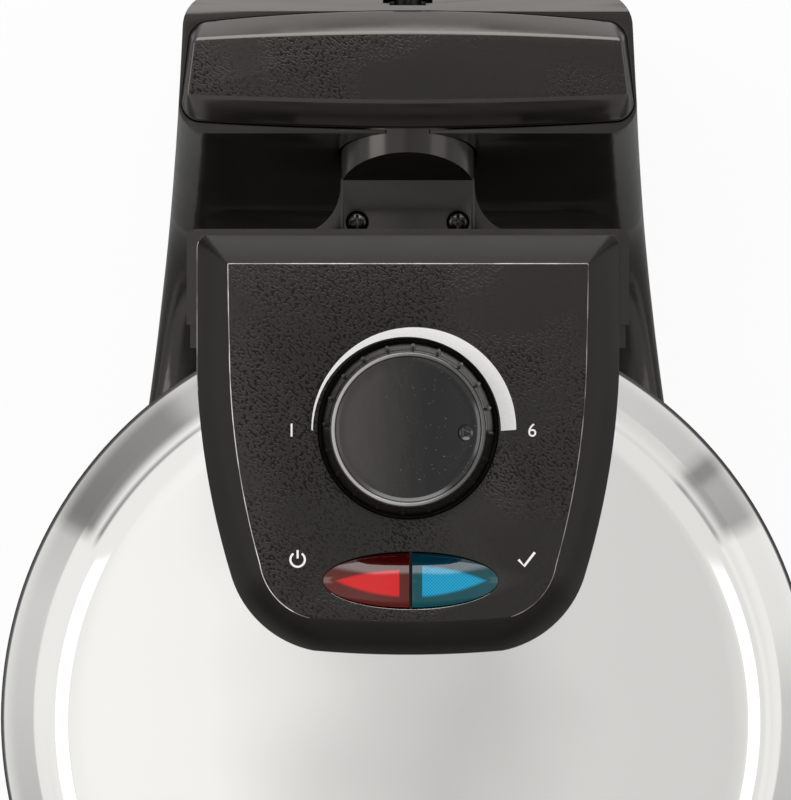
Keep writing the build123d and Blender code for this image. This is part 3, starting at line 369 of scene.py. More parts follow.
lead_line = nurbs_line(route)
section = twin_section(SECTION_POINTS)
verts = []
gone = 0.0
for i, p in enumerate(lead_line):
    before, after = lead_line[max(i - 1, 0)], lead_line[min(i + 1, len(lead_line) - 1)]
    ahead = (after - before).normalized()
    if i:
        gone += (p - before).length
    wide = Vector((1, 0, 0)).lerp(Vector((0, 0, 1)), eased((gone - FLAT_RUN) / TWIST_RUN))
    wide = (wide - ahead * wide.dot(ahead)).normalized()
    thick = ahead.cross(wide)
    verts += [p + wide * a + thick * b for a, b in section]
faces = between_rings(len(lead_line), SECTION_POINTS)
faces.append(tuple(reversed(range(SECTION_POINTS))))
faces.append(tuple(range(len(verts) - SECTION_POINTS, len(verts))))
lead_mesh = bpy.data.meshes.new("mains_lead")
lead_mesh.from_pydata(verts, [], faces)
smooth(lead_mesh, 50)
lead = link("mains_lead", lead_mesh)


def new_finish(name, inputs):
    """A material with plain inputs of its shader set, its tree, its shader, and the places
    that its patterns read."""
    finish = bpy.data.materials.new(name)
    finish.use_nodes = True
    shader = finish.node_tree.nodes["Principled BSDF"]
    set_inputs(shader, inputs)
    where = add_node(finish.node_tree, "ShaderNodeTexCoord").outputs["Object"]
    return finish, finish.node_tree, shader, where


def roughen(shader, where, size, detail, strength, depth):
    """An uneven skin with bumps of a real size and depth in mm; gives the noise they follow."""
    tree = shader.id_data
    bumps = add_node(tree, "ShaderNodeTexNoise", {"Vector": where, "Scale": 1 / (size * MM),
                                                  "Detail": detail})
    dent = add_node(tree, "ShaderNodeBump", {"Height": bumps, "Strength": strength,
                                             "Distance": depth * MM})
    set_inputs(shader, {"Normal": dent})
    return bumps


# PVC: extruded, satin, with faint flecks that break the highlight
pvc, tree, shader, where = new_finish("extruded_pvc", {"Base Color": linear("141312"),
                                                       "Roughness": 0.42})
roughen(shader, where, size=0.9, detail=3.0, strength=0.12, depth=0.1)
lead_mesh.materials.append(pvc)
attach(lead, "base")
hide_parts("lead", "lead_coil")


# Plug and strain relief: soft PVC moulded round the lead's two ends. The plug holds two flat
# blades stamped from brass; the relief has a flange in the tower's rim and a notched taper.
def apply_modifiers(piece):
    """Turns the piece and its modifiers into a plain mesh."""
    bpy.context.view_layer.update()
    shape = piece.evaluated_get(bpy.context.evaluated_depsgraph_get())
    mesh = bpy.data.meshes.new_from_object(shape)
    mesh.name = piece.name
    piece.modifiers.clear()
    old = piece.data
    piece.data = mesh
    bpy.data.meshes.remove(old)


def round_edges(piece, width, angle, segments=3):
    """Rounds the edges sharper than the angle, by a width in mm."""
    rounding = piece.modifiers.new("rounding", "BEVEL")
    rounding.width = width * MM
    rounding.segments = segments
    rounding.limit_method = "ANGLE"
    rounding.angle_limit = radians(angle)
    apply_modifiers(piece)


def cad_copy(name, node_name, bevel=0.0, angle=35, segments=3):
    """A merged copy of a CAD piece with its edges rounded, ready for a finish."""
    mesh = frame["nodes"][node_name].data.copy()
    mesh.name = name
    mesh.materials.clear()
    work = bmesh.new()
    work.from_mesh(mesh)
    bmesh.ops.remove_doubles(work, verts=work.verts, dist=0.002 * MM)
    bmesh.ops.dissolve_limit(work, angle_limit=radians(0.4), verts=work.verts,
                             edges=work.edges)
    work.to_mesh(mesh)
    work.free()
    for layer in list(mesh.attributes):
        if layer.name in ("sharp_edge", "sharp_face", "custom_normal"):
            mesh.attributes.remove(layer)
    piece = link(name, mesh)
    if bevel:
        round_edges(piece, bevel, angle, segments)
    smooth(piece.data, angle)
    return piece


def stand_for(piece, body, slot, material, *nodes):
    """Gives a piece its finish, lets it ride on its body, and hides the CAD nodes."""
    if material:
        piece.data.materials.clear()
        piece.data.materials.append(material)
    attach(piece, body)
    if nodes:
        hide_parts(*nodes)


plug = cad_copy("mains_plug", "plug", bevel=0.9, angle=28)
stand_for(plug, "base", "lead_jacket", pvc, "plug")

# brass: stamped and tumbled, a soft yellow shine with fine lines along the blades
LINE_W, LINE_L = 0.25, 16.67
brass, tree, shader, where = new_finish("stamped_brass", {
    "Base Color": linear("c9a86a"), "Metallic": 1.0, "Roughness": 0.28})
drawn = add_node(tree, "ShaderNodeMapping", {"Vector": where, "Scale": (1, LINE_W / LINE_L, 1)})
roughen(shader, drawn, size=LINE_W, detail=2.0, strength=0.1, depth=0.05)
blades = cad_copy("plug_blades_brass", "plug_blades", bevel=0.25, angle=40, segments=2)
stand_for(blades, "base", "brass", brass, "plug_blades")
relief = cad_copy("lead_relief", "strain_relief", bevel=0.3, angle=40, segments=2)
stand_for(relief, "base", "rubber", pvc, "strain_relief")


# Covers: pressed stainless steel, mirror polished. A short rim, a bevel ring and a nearly
# flat crown are pressed in one piece; the rim's edge is rolled in over the plastic ring.
COVER_R, CROWN_R, SHEET_T, KNEE = 109.2, 93.5, 0.8, 3.0
AXIS_Z, RIM_H, BEVEL_H, CROWN_H = 145.0, 15.0, 33.0, 38.5


def three_point_arc(a, b, c, n):
    """n steps along the circle through three points in a plane, the last left out."""
    (ax, ay), (bx, by), (cx, cy) = a, b, c
    d = 2 * (ax * (by - cy) + bx * (cy - ay) + cx * (ay - by))
    if abs(d) < 1e-9:
        return [(ax + (cx - ax) * i / n, ay + (cy - ay) * i / n) for i in range(n)]
    aa, bb, cc = ax * ax + ay * ay, bx * bx + by * by, cx * cx + cy * cy
    ux = (aa * (by - cy) + bb * (cy - ay) + cc * (ay - by)) / d
    uy = (aa * (cx - bx) + bb * (ax - cx) + cc * (bx - ax)) / d
    r = hypot(ax - ux, ay - uy)
    start, mid, end = (atan2(y - uy, x - ux) for x, y in (a, b, c))
    sweep = (end - start) % (2 * pi)
    if (mid - start) % (2 * pi) > sweep:
        sweep -= 2 * pi
    return [(ux + r * cos(start + sweep * i / n), uy + r * sin(start + sweep * i / n))
            for i in range(n)]


def closed_piece(name, verts, faces):
    """A closed body, with its doubles merged and its faces turned outwards."""
    mesh = bpy.data.meshes.new(name)
    mesh.from_pydata(verts, [], faces)
    work = bmesh.new()
    work.from_mesh(mesh)
    bmesh.ops.remove_doubles(work, verts=work.verts, dist=0.001 * MM)
    bmesh.ops.dissolve_degenerate(work, edges=work.edges, dist=0.0005 * MM)
    bmesh.ops.recalc_face_normals(work, faces=work.faces)
    work.to_mesh(mesh)
    work.free()
    return link(name, mesh)


def turned(name, outline, segments, centre=(0.0, 0.0)):
    """A body turned about an upright line from a closed (radius, height) outline in mm."""
    verts, faces = [], []
    n = len(outline)
    cx, cy = centre
    for k in range(segments):
        a = 2 * pi * k / segments
        verts += [at_head(cx + r * cos(a), cy + r * sin(a), z) for r, z in outline]
        m = (k + 1) % segments
        for i in range(n):
            j = (i + 1) % n
            faces.append((k * n + i, m * n + i, m * n + j, k * n + j))
    return closed_piece(name, verts, faces)


def cover_outline(side):
    """Outer and inner line of a pressed cover; side is 1 above the flip axis, -1 below."""
    rim = (COVER_R, RIM_H + 1.2)
    bevel_top = (CROWN_R + KNEE, BEVEL_H - KNEE)
    edge_r, edge_h = CROWN_R - 3.6, BEVEL_H + 0.6
    rise = CROWN_H - edge_h
    ball = (edge_r ** 2 + rise ** 2) / (2 * rise)
    half = edge_r / 2
    middle = (half, CROWN_H - ball + sqrt(ball * ball - half * half))
    outer = [(COVER_R - 0.5, RIM_H - 0.1), (COVER_R - 0.12, RIM_H + 0.1),
             (COVER_R, RIM_H + 0.5)]
    rolled = len(outer)
    outer += three_point_arc(rim, (COVER_R - 6.2, 24.2), bevel_top, 22)
    outer += three_point_arc(bevel_top, (CROWN_R, BEVEL_H - 0.8), (edge_r, edge_h), 12)
    outer += three_point_arc((edge_r, edge_h), middle, (0, CROWN_H), 24) + [(0, CROWN_H)]
    inner = [(max(r - SHEET_T, 0), h - SHEET_T) for r, h in reversed(outer[rolled:])]
    inner[0] = (0, CROWN_H - SHEET_T)
    inner.append((COVER_R - SHEET_T, RIM_H))
    return [(r, AXIS_Z + side * h) for r, h in outer + inner]


# stainless steel, mirror polished: sharp reflections, a trace of polishing haze, and long
# shallow waves from the press that bend what it mirrors
steel, tree, shader, where = new_finish("polished_stainless_steel", {
    "Base Color": linear("f0efec"), "Metallic": 1.0})
haze = add_node(tree, "ShaderNodeTexNoise", {"Vector": where, "Scale": 1 / (26 * MM),
                                             "Detail": 4.0})
rough = add_node(tree, "ShaderNodeMapRange", [haze, 0.35, 0.7, 0.045, 0.085])
set_inputs(shader, {"Roughness": rough})
roughen(shader, where, size=38, detail=1.0, strength=0.25, depth=0.12)

for side, body, node_name in ((1, "lid", "lid_cover"), (-1, "head", "lower_cover")):
    shell = turned(f"{node_name}_polished", cover_outline(side), 256)
    smooth(shell.data, 40)
    stand_for(shell, body, "polished_steel", steel, node_name)


# Rings: the black heat-proof rims between cover and plate, compression moulded in phenolic.
# Each has a fine groove round its edge and a lip that carries the plate.
RIM_R, RING_W, GAP = 110.05, 5.0, 1.0
LIP_R, LIP_LOW_H, LIP_HIGH_H, PLATE_R = 93.0, 3.6, 6.0, 103.3
GROOVE_LOW_H, GROOVE_HIGH_H, GROOVE_D, GROOVE_SLOPE = 6.4, 8.2, 0.5, 0.4
FOOT_ROUND, TOP_ROUND = 1.2, 0.8
FOOT_ROUND_IN, TOP_ROUND_IN = 0.35, 0.23      # how far the middle of each rounding stands in

# phenolic: matte black with tiny filler specks that dull the highlight
phenolic, tree, shader, where = new_finish("moulded_phenolic", {
    "Base Color": linear("1b1a19"), "Roughness": 0.38})
roughen(shader, where, size=0.7, detail=4.0, strength=0.15, depth=0.1)

for side, body, node_name in ((1, "lid", "upper_ring"), (-1, "head", "lower_ring")):
    foot, top = (RIM_R, GAP + FOOT_ROUND), (RIM_R - TOP_ROUND, RIM_H)
    line = [(RIM_R - RING_W, RIM_H), (RIM_R - RING_W, LIP_HIGH_H), (LIP_R, LIP_HIGH_H),
            (LIP_R, LIP_LOW_H), (PLATE_R, LIP_LOW_H), (PLATE_R, GAP), (RIM_R - FOOT_ROUND, GAP)]
    line += three_point_arc((RIM_R - FOOT_ROUND, GAP),
                            (RIM_R - FOOT_ROUND_IN, GAP + FOOT_ROUND_IN), foot, 5)
    line += [foot, (RIM_R, GROOVE_LOW_H), (RIM_R - GROOVE_D, GROOVE_LOW_H + GROOVE_SLOPE),
             (RIM_R - GROOVE_D, GROOVE_HIGH_H - GROOVE_SLOPE), (RIM_R, GROOVE_HIGH_H)]
    line += three_point_arc((RIM_R, RIM_H - TOP_ROUND),
                            (RIM_R - TOP_ROUND_IN, RIM_H - TOP_ROUND_IN), top, 4)
    line.append(top)
    band = turned(f"{node_name}_moulded", [(r, AXIS_Z + side * h) for r, h in line], 192)
    smooth(band.data, 30)
    stand_for(band, body, "phenolic", phenolic, node_name)


# Base: one ABS moulding, the tower and the two wings that carry the tray between them. The
# tower's rear rim falls a little towards the back, so it catches the light as a pale strip.
RIM_BREAK_Y, RIM_FALL, RIM_FLAT_Z = 190.95, 0.6, 162.9

# ABS, glossy black: the polished tool leaves a slight orange peel that wobbles the highlights,
# and handling leaves patches that shine less
gloss_abs, tree, shader, where = new_finish("gloss_black_abs", {
    "Base Color": linear("191715"), "IOR": 1.5, "Specular Tint": linear("fdf6f0")})
roughen(shader, where, size=3.0, detail=2.0, strength=0.18, depth=0.06)
wear = add_node(tree, "ShaderNodeTexNoise", {"Vector": where, "Scale": 1 / (14 * MM),
                                             "Detail": 3.0})
rough = add_node(tree, "ShaderNodeMapRange", [wear, 0.3, 0.7, 0.13, 0.22])
set_inputs(shader, {"Roughness": rough})

base = cad_copy("base_moulding", "base_shell")
work = bmesh.new()
work.from_mesh(base.data)
bmesh.ops.bisect_plane(work, geom=work.verts[:] + work.edges[:] + work.faces[:],
                       plane_co=at_head(0, RIM_BREAK_Y, 0), plane_no=(0, 1, 0))
for v in work.verts:
    behind_break = v.co.y - HEAD_Y - RIM_BREAK_Y * MM
    if v.co.z > RIM_FLAT_Z * MM and behind_break > 0:
        v.co.z -= RIM_FALL * behind_break
work.to_mesh(base.data)
work.free()
round_edges(base, 0.9, 34)
smooth(base.data, 35)
stand_for(base, "base", "black_plastic", gloss_abs, "base_shell")


# Tower cap: a separate ABS lid let into the top of the tower. It is bevelled all round, with
# buffed slopes and a flat top that the tool grained.
CAP_FOOT_Z, CAP_EDGE_Z, CAP_FACE_Z = 156.2, 165.0, 170.0
# each outline is its right half in arcs, as start, a point on the way and steps, then the end
CAP_OUTLINE = [((0.0, 190.9), (27.0, 190.2), 14), ((53.3, 188.1), (57.3, 186.4), 8),
               ((58.95, 182.6), (59.9, 174.6), 10), ((60.85, 166.6), (59.5, 162.8), 8),
               ((55.7, 161.2), (28.0, 159.9), 14), (0.0, 159.3)]
CAP_FACE = [((0.0, 184.6), (27.0, 184.2), 14), ((56.2, 183.0), (57.2, 182.5), 8),
            ((57.6, 181.6), (58.4, 175.2), 10), ((59.2, 168.9), (58.9, 167.9), 8),
            ((57.9, 167.5), (28.0, 166.4), 14), (0.0, 166.0)]


def both_sides(arcs_and_end):
    """A closed outline from the arcs of its right half and their end on the middle line."""
    *arcs, end = arcs_and_end
    ends = [start for start, between, steps in arcs[1:]] + [end]
    half = []
    for (start, between, steps), stop in zip(arcs, ends):
        half += three_point_arc(start, between, stop, steps)
    half[0] = arcs[0][0]
    half.append(end)
    return half + [(-x, y) for x, y in reversed(half[1:-1])]


def at_height(outline, z):
    """The ring of an outline at one height."""
    return [(x, y, z) for x, y in outline]


def lofted(name, rings):
    """A body through rings of equally many points, closed by flat ends."""
    n = len(rings[0])
    verts = [at_head(*p) for ring in rings for p in ring]
    faces = between_rings(len(rings), n)
    faces.append(tuple(reversed(range(n))))
    faces.append(tuple(range(len(verts) - n, len(verts))))
    return closed_piece(name, verts, faces)


# the cap's slopes are the same ABS, buffed to a higher gloss, so they mirror more of the room
buffed_abs = gloss_abs.copy()
buffed_abs.name = "buffed_black_abs"
set_inputs(buffed_abs.node_tree.nodes["Principled BSDF"], {"IOR": 1.66})

# grained ABS: fine pits etched into the tool, a little longer than wide, that lean to the front
# right and are worn away in patches, most at the right. The pits get painted shade, a darker
# specular tint.
grain_abs, tree, shader, where = new_finish("leather_grained_abs", {
    "Base Color": linear("12100f"), "IOR": 1.5})
leaning = add_node(tree, "ShaderNodeMapping", {
    "Vector": where, "Rotation": (0, 0, radians(-36)),
    "Scale": (1.0 * MM, 0.6 * MM, 0.7 * MM)}, vector_type="TEXTURE")
grain = add_node(tree, "ShaderNodeTexNoise", {"Vector": leaning, "Scale": 1.0, "Detail": 1.0})
pits = add_node(tree, "ShaderNodeMapRange", [grain, 0.4, 0.52, 1.0, 0.0], **SOFT_ENDS)
cloud = add_node(tree, "ShaderNodeTexNoise", {"Vector": where, "Scale": 1 / (30 * MM),
                                              "Detail": 1.5})
aside = add_node(tree, "ShaderNodeSeparateXYZ", [where])
worn = add_node(tree, "ShaderNodeMath", [aside, -1.7, cloud], operation="MULTIPLY_ADD")
patches = add_node(tree, "ShaderNodeMapRange", [worn, 0.38, 0.58, 0.15, 1.0], **SOFT_ENDS)
depth = add_node(tree, "ShaderNodeMath", [pits, patches], operation="MULTIPLY")
dent = add_node(tree, "ShaderNodeBump", {"Height": depth, "Strength": 0.5,
                                         "Distance": 0.1 * MM}, invert=True)
# painted shade in the pits: their specular tint is darker
painted_shade_tint = add_node(tree, "ShaderNodeMix", [depth, linear("fff8f0"), linear("857f7a")],
                 data_type="RGBA")
rough = add_node(tree, "ShaderNodeMapRange", [depth, 0.0, 1.0, 0.2, 0.5], **SOFT_ENDS)
set_inputs(shader, {"Normal": dent, "Specular Tint": painted_shade_tint, "Roughness": rough})


def grained_top(piece, face_z, slopes):
    """Gives the flat top of a moulding the grained finish and the rest the other one."""
    mesh = piece.data
    mesh.materials.clear()
    mesh.materials.append(slopes)
    mesh.materials.append(grain_abs)
    for face in mesh.polygons:
        lowest = min(mesh.vertices[v].co.z for v in face.vertices)
        at_top = lowest > (face_z - 0.2) * MM and face.normal.z > 0.995
        face.material_index = 1 if at_top else 0


cap = lofted("tower_cap_moulding", [at_height(both_sides(CAP_OUTLINE), CAP_FOOT_Z),
                                    at_height(both_sides(CAP_OUTLINE), CAP_EDGE_Z),
                                    at_height(both_sides(CAP_FACE), CAP_FACE_Z)])
round_edges(cap, 0.6, 20)
smooth(cap.data, 30)
grained_top(cap, CAP_FACE_Z, buffed_abs)
stand_for(cap, "base", "black_textured", None, "tower_cap")


# Control panel: an ABS moulding with broad slopes round a flat grained face, clipped on the
# housing. It has holes for the lens and the thermostat's shaft, and a shallow well for the knob.
PANEL_EDGE_Z, PANEL_FACE_Z, PANEL_SKIRT = 185.5, 194.0, 1.4
PANEL_OUTLINE = [((0.0, 129.8), (26.0, 129.8), 12), ((52.5, 129.8), (54.9, 128.8), 6),
                 ((55.9, 126.4), (55.9, 110.0), 10), ((55.9, 93.5), (53.2, 67.0), 22),
                 ((46.6, 39.0), (40.1, 28.1), 18), ((25.0, 19.8), (12.6, 18.98), 10),
                 (0.0, 18.7)]
PANEL_FACE = [((0.0, 121.9), (26.0, 121.9), 12), ((46.9, 121.9), (47.2, 121.8), 6),
              ((47.3, 121.5), (47.15, 110.0), 10), ((46.9, 100.0), (44.6, 69.6), 22),
              ((38.9, 43.0), (35.1, 34.6), 18), ((26.0, 28.9), (13.2, 28.0), 10),
              (0.0, 27.7)]
LENS_X, LENS_Y, LENS_A, LENS_B = 0.7, 38.7, 22.65, 7.15
LENS_GAP, LENS_HOLE_D = 0.35, 3.2
KNOB_Y, WELL_R, WELL_D = 78.5, 23.7, 2.6
SHAFT_HOLE_R, SHAFT_HOLE_D = 4.6, 3.0
# painted highlights on the rounded edges: behind and at the left of these lines they are pale,
# elsewhere faint
PALE_FROM_Y, PALE_TO_X = 121, -30
OUTER_PALE_FROM_Y, OUTER_PALE_TO_X = 88, -54
CLEAR_OF_LENS, CLEAR_OF_WELL = 28, 3
LENS_LIP_REACH, LENS_LIP_Y = 1.12, 3.5
FACE_EDGE_D, OUTER_EDGE_D = 0.35, 0.4         # how far the rounded edges reach in height
FACE_EDGE_SLANTS, OUTER_EDGE_SLANTS = (10, 40), (50, 86)


def cut(piece, tool):
    """Cuts the tool out of the piece and takes the tool away."""
    way = piece.modifiers.new("hole", "BOOLEAN")
    way.operation, way.solver, way.object = "DIFFERENCE", "EXACT", tool
    apply_modifiers(piece)
    mesh = tool.data
    bpy.data.objects.remove(tool)
    bpy.data.meshes.remove(mesh)


def ellipse(cx, cy, a, b, n):
    """The n corner points of an ellipse about a place, with half axes a and b."""
    return [(cx + a * cos(2 * pi * k / n), cy + b * sin(2 * pi * k / n)) for k in range(n)]


# the panel's slopes are moulded a little less glossy, so they stay nearly black
slope_abs = gloss_abs.copy()
slope_abs.name = "satin_black_abs"
set_inputs(slope_abs.node_tree.nodes["Principled BSDF"], {"IOR": 1.36,
                                                          "Base Color": linear("12100e")})


def painted_edge_highlight(name, dark, pale):
    """Dull ABS for a rounded edge, coloured as a painted highlight that is paler in uneven
    stretches.
    """
    finish, tree, shader, where = new_finish(name, {"Roughness": 0.35})
    uneven_highlight = add_node(tree, "ShaderNodeTexNoise", {"Vector": where, "Scale": 1 / (9 * MM),
                                                "Detail": 3.0})
    share = add_node(tree, "ShaderNodeMapRange", [uneven_highlight, 0.35, 0.65], **SOFT_ENDS)
    tone = add_node(tree, "ShaderNodeMix", [share, linear(dark), linear(pale)],
                    data_type="RGBA")
    set_inputs(shader, {"Base Color": tone})
    return finish


panel = lofted("control_panel_bezel", [
    at_height(both_sides(PANEL_OUTLINE), PANEL_EDGE_Z - PANEL_SKIRT),
    at_height(both_sides(PANEL_OUTLINE), PANEL_EDGE_Z),
    at_height(both_sides(PANEL_FACE), PANEL_FACE_Z)])
for outline, deep in (
        (ellipse(LENS_X, LENS_Y, LENS_A + LENS_GAP, LENS_B + LENS_GAP, 72), LENS_HOLE_D),
        (ellipse(0, KNOB_Y, SHAFT_HOLE_R, SHAFT_HOLE_R, 32), SHAFT_HOLE_D),
        (ellipse(0, KNOB_Y, WELL_R, WELL_R, 120), WELL_D)):
    cut(panel, lofted("hole", [at_height(outline, PANEL_FACE_Z - deep),
                               at_height(outline, PANEL_FACE_Z + 5)]))
round_edges(panel, 0.5, 22)
smooth(panel.data, 25)
grained_top(panel, PANEL_FACE_Z, slope_abs)
# the rounded edges get painted highlights: pale behind, at the left and in front of the lens,
# faint elsewhere
panel.data.materials.append(painted_edge_highlight("rubbed_abs_edge", "8d8883", "dedbd6"))
panel.data.materials.append(painted_edge_highlight("dull_abs_edge", "3a3633", "97928d"))
PALE, FAINT_EDGE = 2, 3
for face in panel.data.polygons:
    x, y, z = (c / MM for c in face.center)
    y -= HEAD_Y / MM
    slant = degrees(face.normal.angle((0, 0, 1)))
    low, high = FACE_EDGE_SLANTS
    at_face_edge = z > PANEL_FACE_Z - FACE_EDGE_D and low < slant < high
    low, high = OUTER_EDGE_SLANTS
    at_outer_edge = abs(z - PANEL_EDGE_Z) < OUTER_EDGE_D and low < slant < high
    at_hole = (hypot(x - LENS_X, y - LENS_Y) < CLEAR_OF_LENS
               or hypot(x, y - KNOB_Y) < WELL_R + CLEAR_OF_WELL)
    from_lens = hypot((x - LENS_X) / LENS_A, (y - LENS_Y) / LENS_B)
    if at_face_edge and not at_hole:
        face.material_index = PALE if y > PALE_FROM_Y or x < PALE_TO_X else FAINT_EDGE
    if at_outer_edge and x < OUTER_PALE_TO_X and y > OUTER_PALE_FROM_Y:
        face.material_index = PALE
    if at_face_edge and y < LENS_Y - LENS_LIP_Y and from_lens < LENS_LIP_REACH:
        face.material_index = PALE
stand_for(panel, "lid", "black_textured", None, "control_panel")

# Panel housing: the glossy ABS box under the panel, from the lid's crown back to the hinge
# barrel; screws from inside the lid hold it.
housing = cad_copy("panel_housing_moulding", "panel_housing", bevel=0.8)
stand_for(housing, "lid", "black_plastic", gloss_abs, "panel_housing")


# Printing on the panel's face: the dial's scale, a crescent that widens from the low end to
# the high end, the numbers at its ends, and a sign beside each lamp; one colour, screen printed.
PRINT_LOW, PRINT_HIGH = PANEL_FACE_Z + 0.02, PANEL_FACE_Z + 0.09
SCALE_OUTER = (1.5, 78.3, 26.9)
SCALE_INNER = (-0.3, 78.0, 24.7)
NUMBER_Y, NUMBER_SIZE = 78.0, 5.0
NUMBER_LOW_X, NUMBER_HIGH_X = -30.6, 32.6
SIGN_Y, SIGN_LOW_X, SIGN_HIGH_X, SIGN_R = 44.2, -29.0, 31.0, 1.9
POWER_LINE_W, TICK_W = 0.55, 0.65

# ink: pale grey, matte, a little uneven where the screen's mesh lay
ink, tree, shader, where = new_finish("screen_printed_ink", {"Roughness": 0.5})
patch = add_node(tree, "ShaderNodeTexNoise", {"Vector": where, "Scale": 1 / (0.8 * MM)})
tone = add_node(tree, "ShaderNodeMix", [patch, linear("f0eeeb"), linear("faf8f5")],
                data_type="RGBA")
set_inputs(shader, {"Base Color": tone})


def arc_points(cx, cy, r, a0, a1, n):
    """Points along an arc from one angle to the other, in degrees."""
    return [(cx + r * cos(radians(a0 + (a1 - a0) * k / n)),
             cy + r * sin(radians(a0 + (a1 - a0) * k / n))) for k in range(n + 1)]


def printed(name, strips):
    """Ink of even thickness in strips, each between pairs of points on its two edges."""
    verts, faces = [], []
    for pairs in strips:
        first = len(verts)
        for (ax, ay), (bx, by) in pairs:
            verts += [at_head(ax, ay, PRINT_LOW), at_head(ax, ay, PRINT_HIGH),
                      at_head(bx, by, PRINT_HIGH), at_head(bx, by, PRINT_LOW)]
        faces += [tuple(first + v for v in face) for face in between_rings(len(pairs), 4)]
        faces += [tuple(range(first, first + 4)), tuple(range(len(verts) - 4, len(verts)))]
    stand_for(closed_piece(name, verts, faces), "lid", "black_textured", ink)


def printed_text(name, words, x, y, size):
    """Words in ink, centred on a place of the face."""
    curve = bpy.data.curves.new(name, "FONT")
    curve.body = words
    curve.size = size * MM
    curve.extrude = (PRINT_HIGH - PRINT_LOW) / 2 * MM
    curve.align_x, curve.align_y = "CENTER", "CENTER"
    curve.resolution_u = 6
    holder = link(name, curve)
    mesh = bpy.data.meshes.new_from_object(holder)
    bpy.data.objects.remove(holder)
    place = Vector(at_head(x, y, (PRINT_LOW + PRINT_HIGH) / 2))
    for v in mesh.vertices:
        v.co = v.co + place
    mesh.name = name
    stand_for(link(name, mesh), "lid", "black_textured", ink)


def drawn_line(points, width):
    """Edge points of a line of even width through points."""
    pairs = []
    for i, (x, y) in enumerate(points):
        (ax, ay), (bx, by) = points[max(i - 1, 0)], points[min(i + 1, len(points) - 1)]
        share = width / 2 / hypot(bx - ax, by - ay)
        ox, oy = (ay - by) * share, (bx - ax) * share
        pairs.append(((x + ox, y + oy), (x - ox, y - oy)))
    return pairs


printed("dial_scale", [list(zip(arc_points(*SCALE_OUTER, 0, 180, 72),
                                arc_points(*SCALE_INNER, 0, 180, 72)))])
printed_text("dial_number_low", "1", NUMBER_LOW_X, NUMBER_Y, NUMBER_SIZE)
printed_text("dial_number_high", "6", NUMBER_HIGH_X, NUMBER_Y, NUMBER_SIZE)
open_ring = arc_points(SIGN_LOW_X, SIGN_Y, SIGN_R, 125, 415, 24)
bar = [(SIGN_LOW_X, SIGN_Y + 0.3), (SIGN_LOW_X, SIGN_Y + 2.5)]
tick = [(SIGN_HIGH_X - 2.0, SIGN_Y), (SIGN_HIGH_X - 0.5, SIGN_Y - 1.7),
        (SIGN_HIGH_X + 2.3, SIGN_Y + 1.9)]
printed("power_sign", [drawn_line(open_ring, POWER_LINE_W), drawn_line(bar, POWER_LINE_W)])
printed("ready_sign", [drawn_line(tick, TICK_W)])


# Dial knob: glossy ABS, a low taper with 20 moulded finger ribs, a rolled top edge and a sunk,
# faintly crowned top with a pointer in a dimple. It pushes on to the thermostat's shaft.
KNOB_R, KNOB_TOP_R, KNOB_TOP_Z = 22.4, 19.5, 209.0
KNOB_FOOT_Z = PANEL_FACE_Z + 0.6
BEAD_R = 0.75
FLOOR_R, FLOOR_Z, CROWN_Z = 17.7, KNOB_TOP_Z - 1.25, KNOB_TOP_Z - 0.45
DIMPLE_X, DIMPLE_Y, DIMPLE_R, DIMPLE_Z = 15.0, KNOB_Y - 0.9, 2.2, KNOB_TOP_Z - 1.7
RIB_COUNT, RIB_RING_R, RIB_HALF_SIZE = 20, 21.15, (1.05, 0.85, 5.6)
RIB_LEAN, RIB_FIRST, RIB_MIDDLE_H = radians(-9), radians(14.6), 6.9
STEM_R = 4.2
bead_foot = (KNOB_TOP_R - BEAD_R, KNOB_TOP_Z - BEAD_R)
line = [(0.0, KNOB_FOOT_Z), (KNOB_R - 0.5, KNOB_FOOT_Z), (KNOB_R, KNOB_FOOT_Z + 0.5),
        (KNOB_R - 0.5, KNOB_FOOT_Z + 5.0), (KNOB_R - 1.25, KNOB_FOOT_Z + 9.0),
        (KNOB_TOP_R + 1.15, KNOB_TOP_Z - 2.6), (KNOB_TOP_R + BEAD_R, KNOB_TOP_Z - 1.5)]
line += three_point_arc((KNOB_TOP_R + BEAD_R, KNOB_TOP_Z - BEAD_R), (KNOB_TOP_R, KNOB_TOP_Z),
                        bead_foot, 12)
line += [bead_foot, (FLOOR_R + 0.3, FLOOR_Z + 0.05)]
line += three_point_arc((FLOOR_R, FLOOR_Z), (FLOOR_R * 0.55, FLOOR_Z + 0.7 * (CROWN_Z - FLOOR_Z)),
                        (0.0, CROWN_Z), 10) + [(0.0, CROWN_Z)]
dial = turned("dial_knob_body", line, 160, (0.0, KNOB_Y))
bowl = [(0.0, DIMPLE_Z)] + three_point_arc((0.4, DIMPLE_Z), (DIMPLE_R * 0.7, DIMPLE_Z + 0.2),
                                           (DIMPLE_R, DIMPLE_Z + 0.75), 6)
bowl += [(DIMPLE_R, DIMPLE_Z + 0.75), (DIMPLE_R, KNOB_TOP_Z + 1.0), (0.0, KNOB_TOP_Z + 1.0)]
cut(dial, turned("dimple", bowl, 40, (DIMPLE_X, DIMPLE_Y)))
smooth(dial.data, 35)
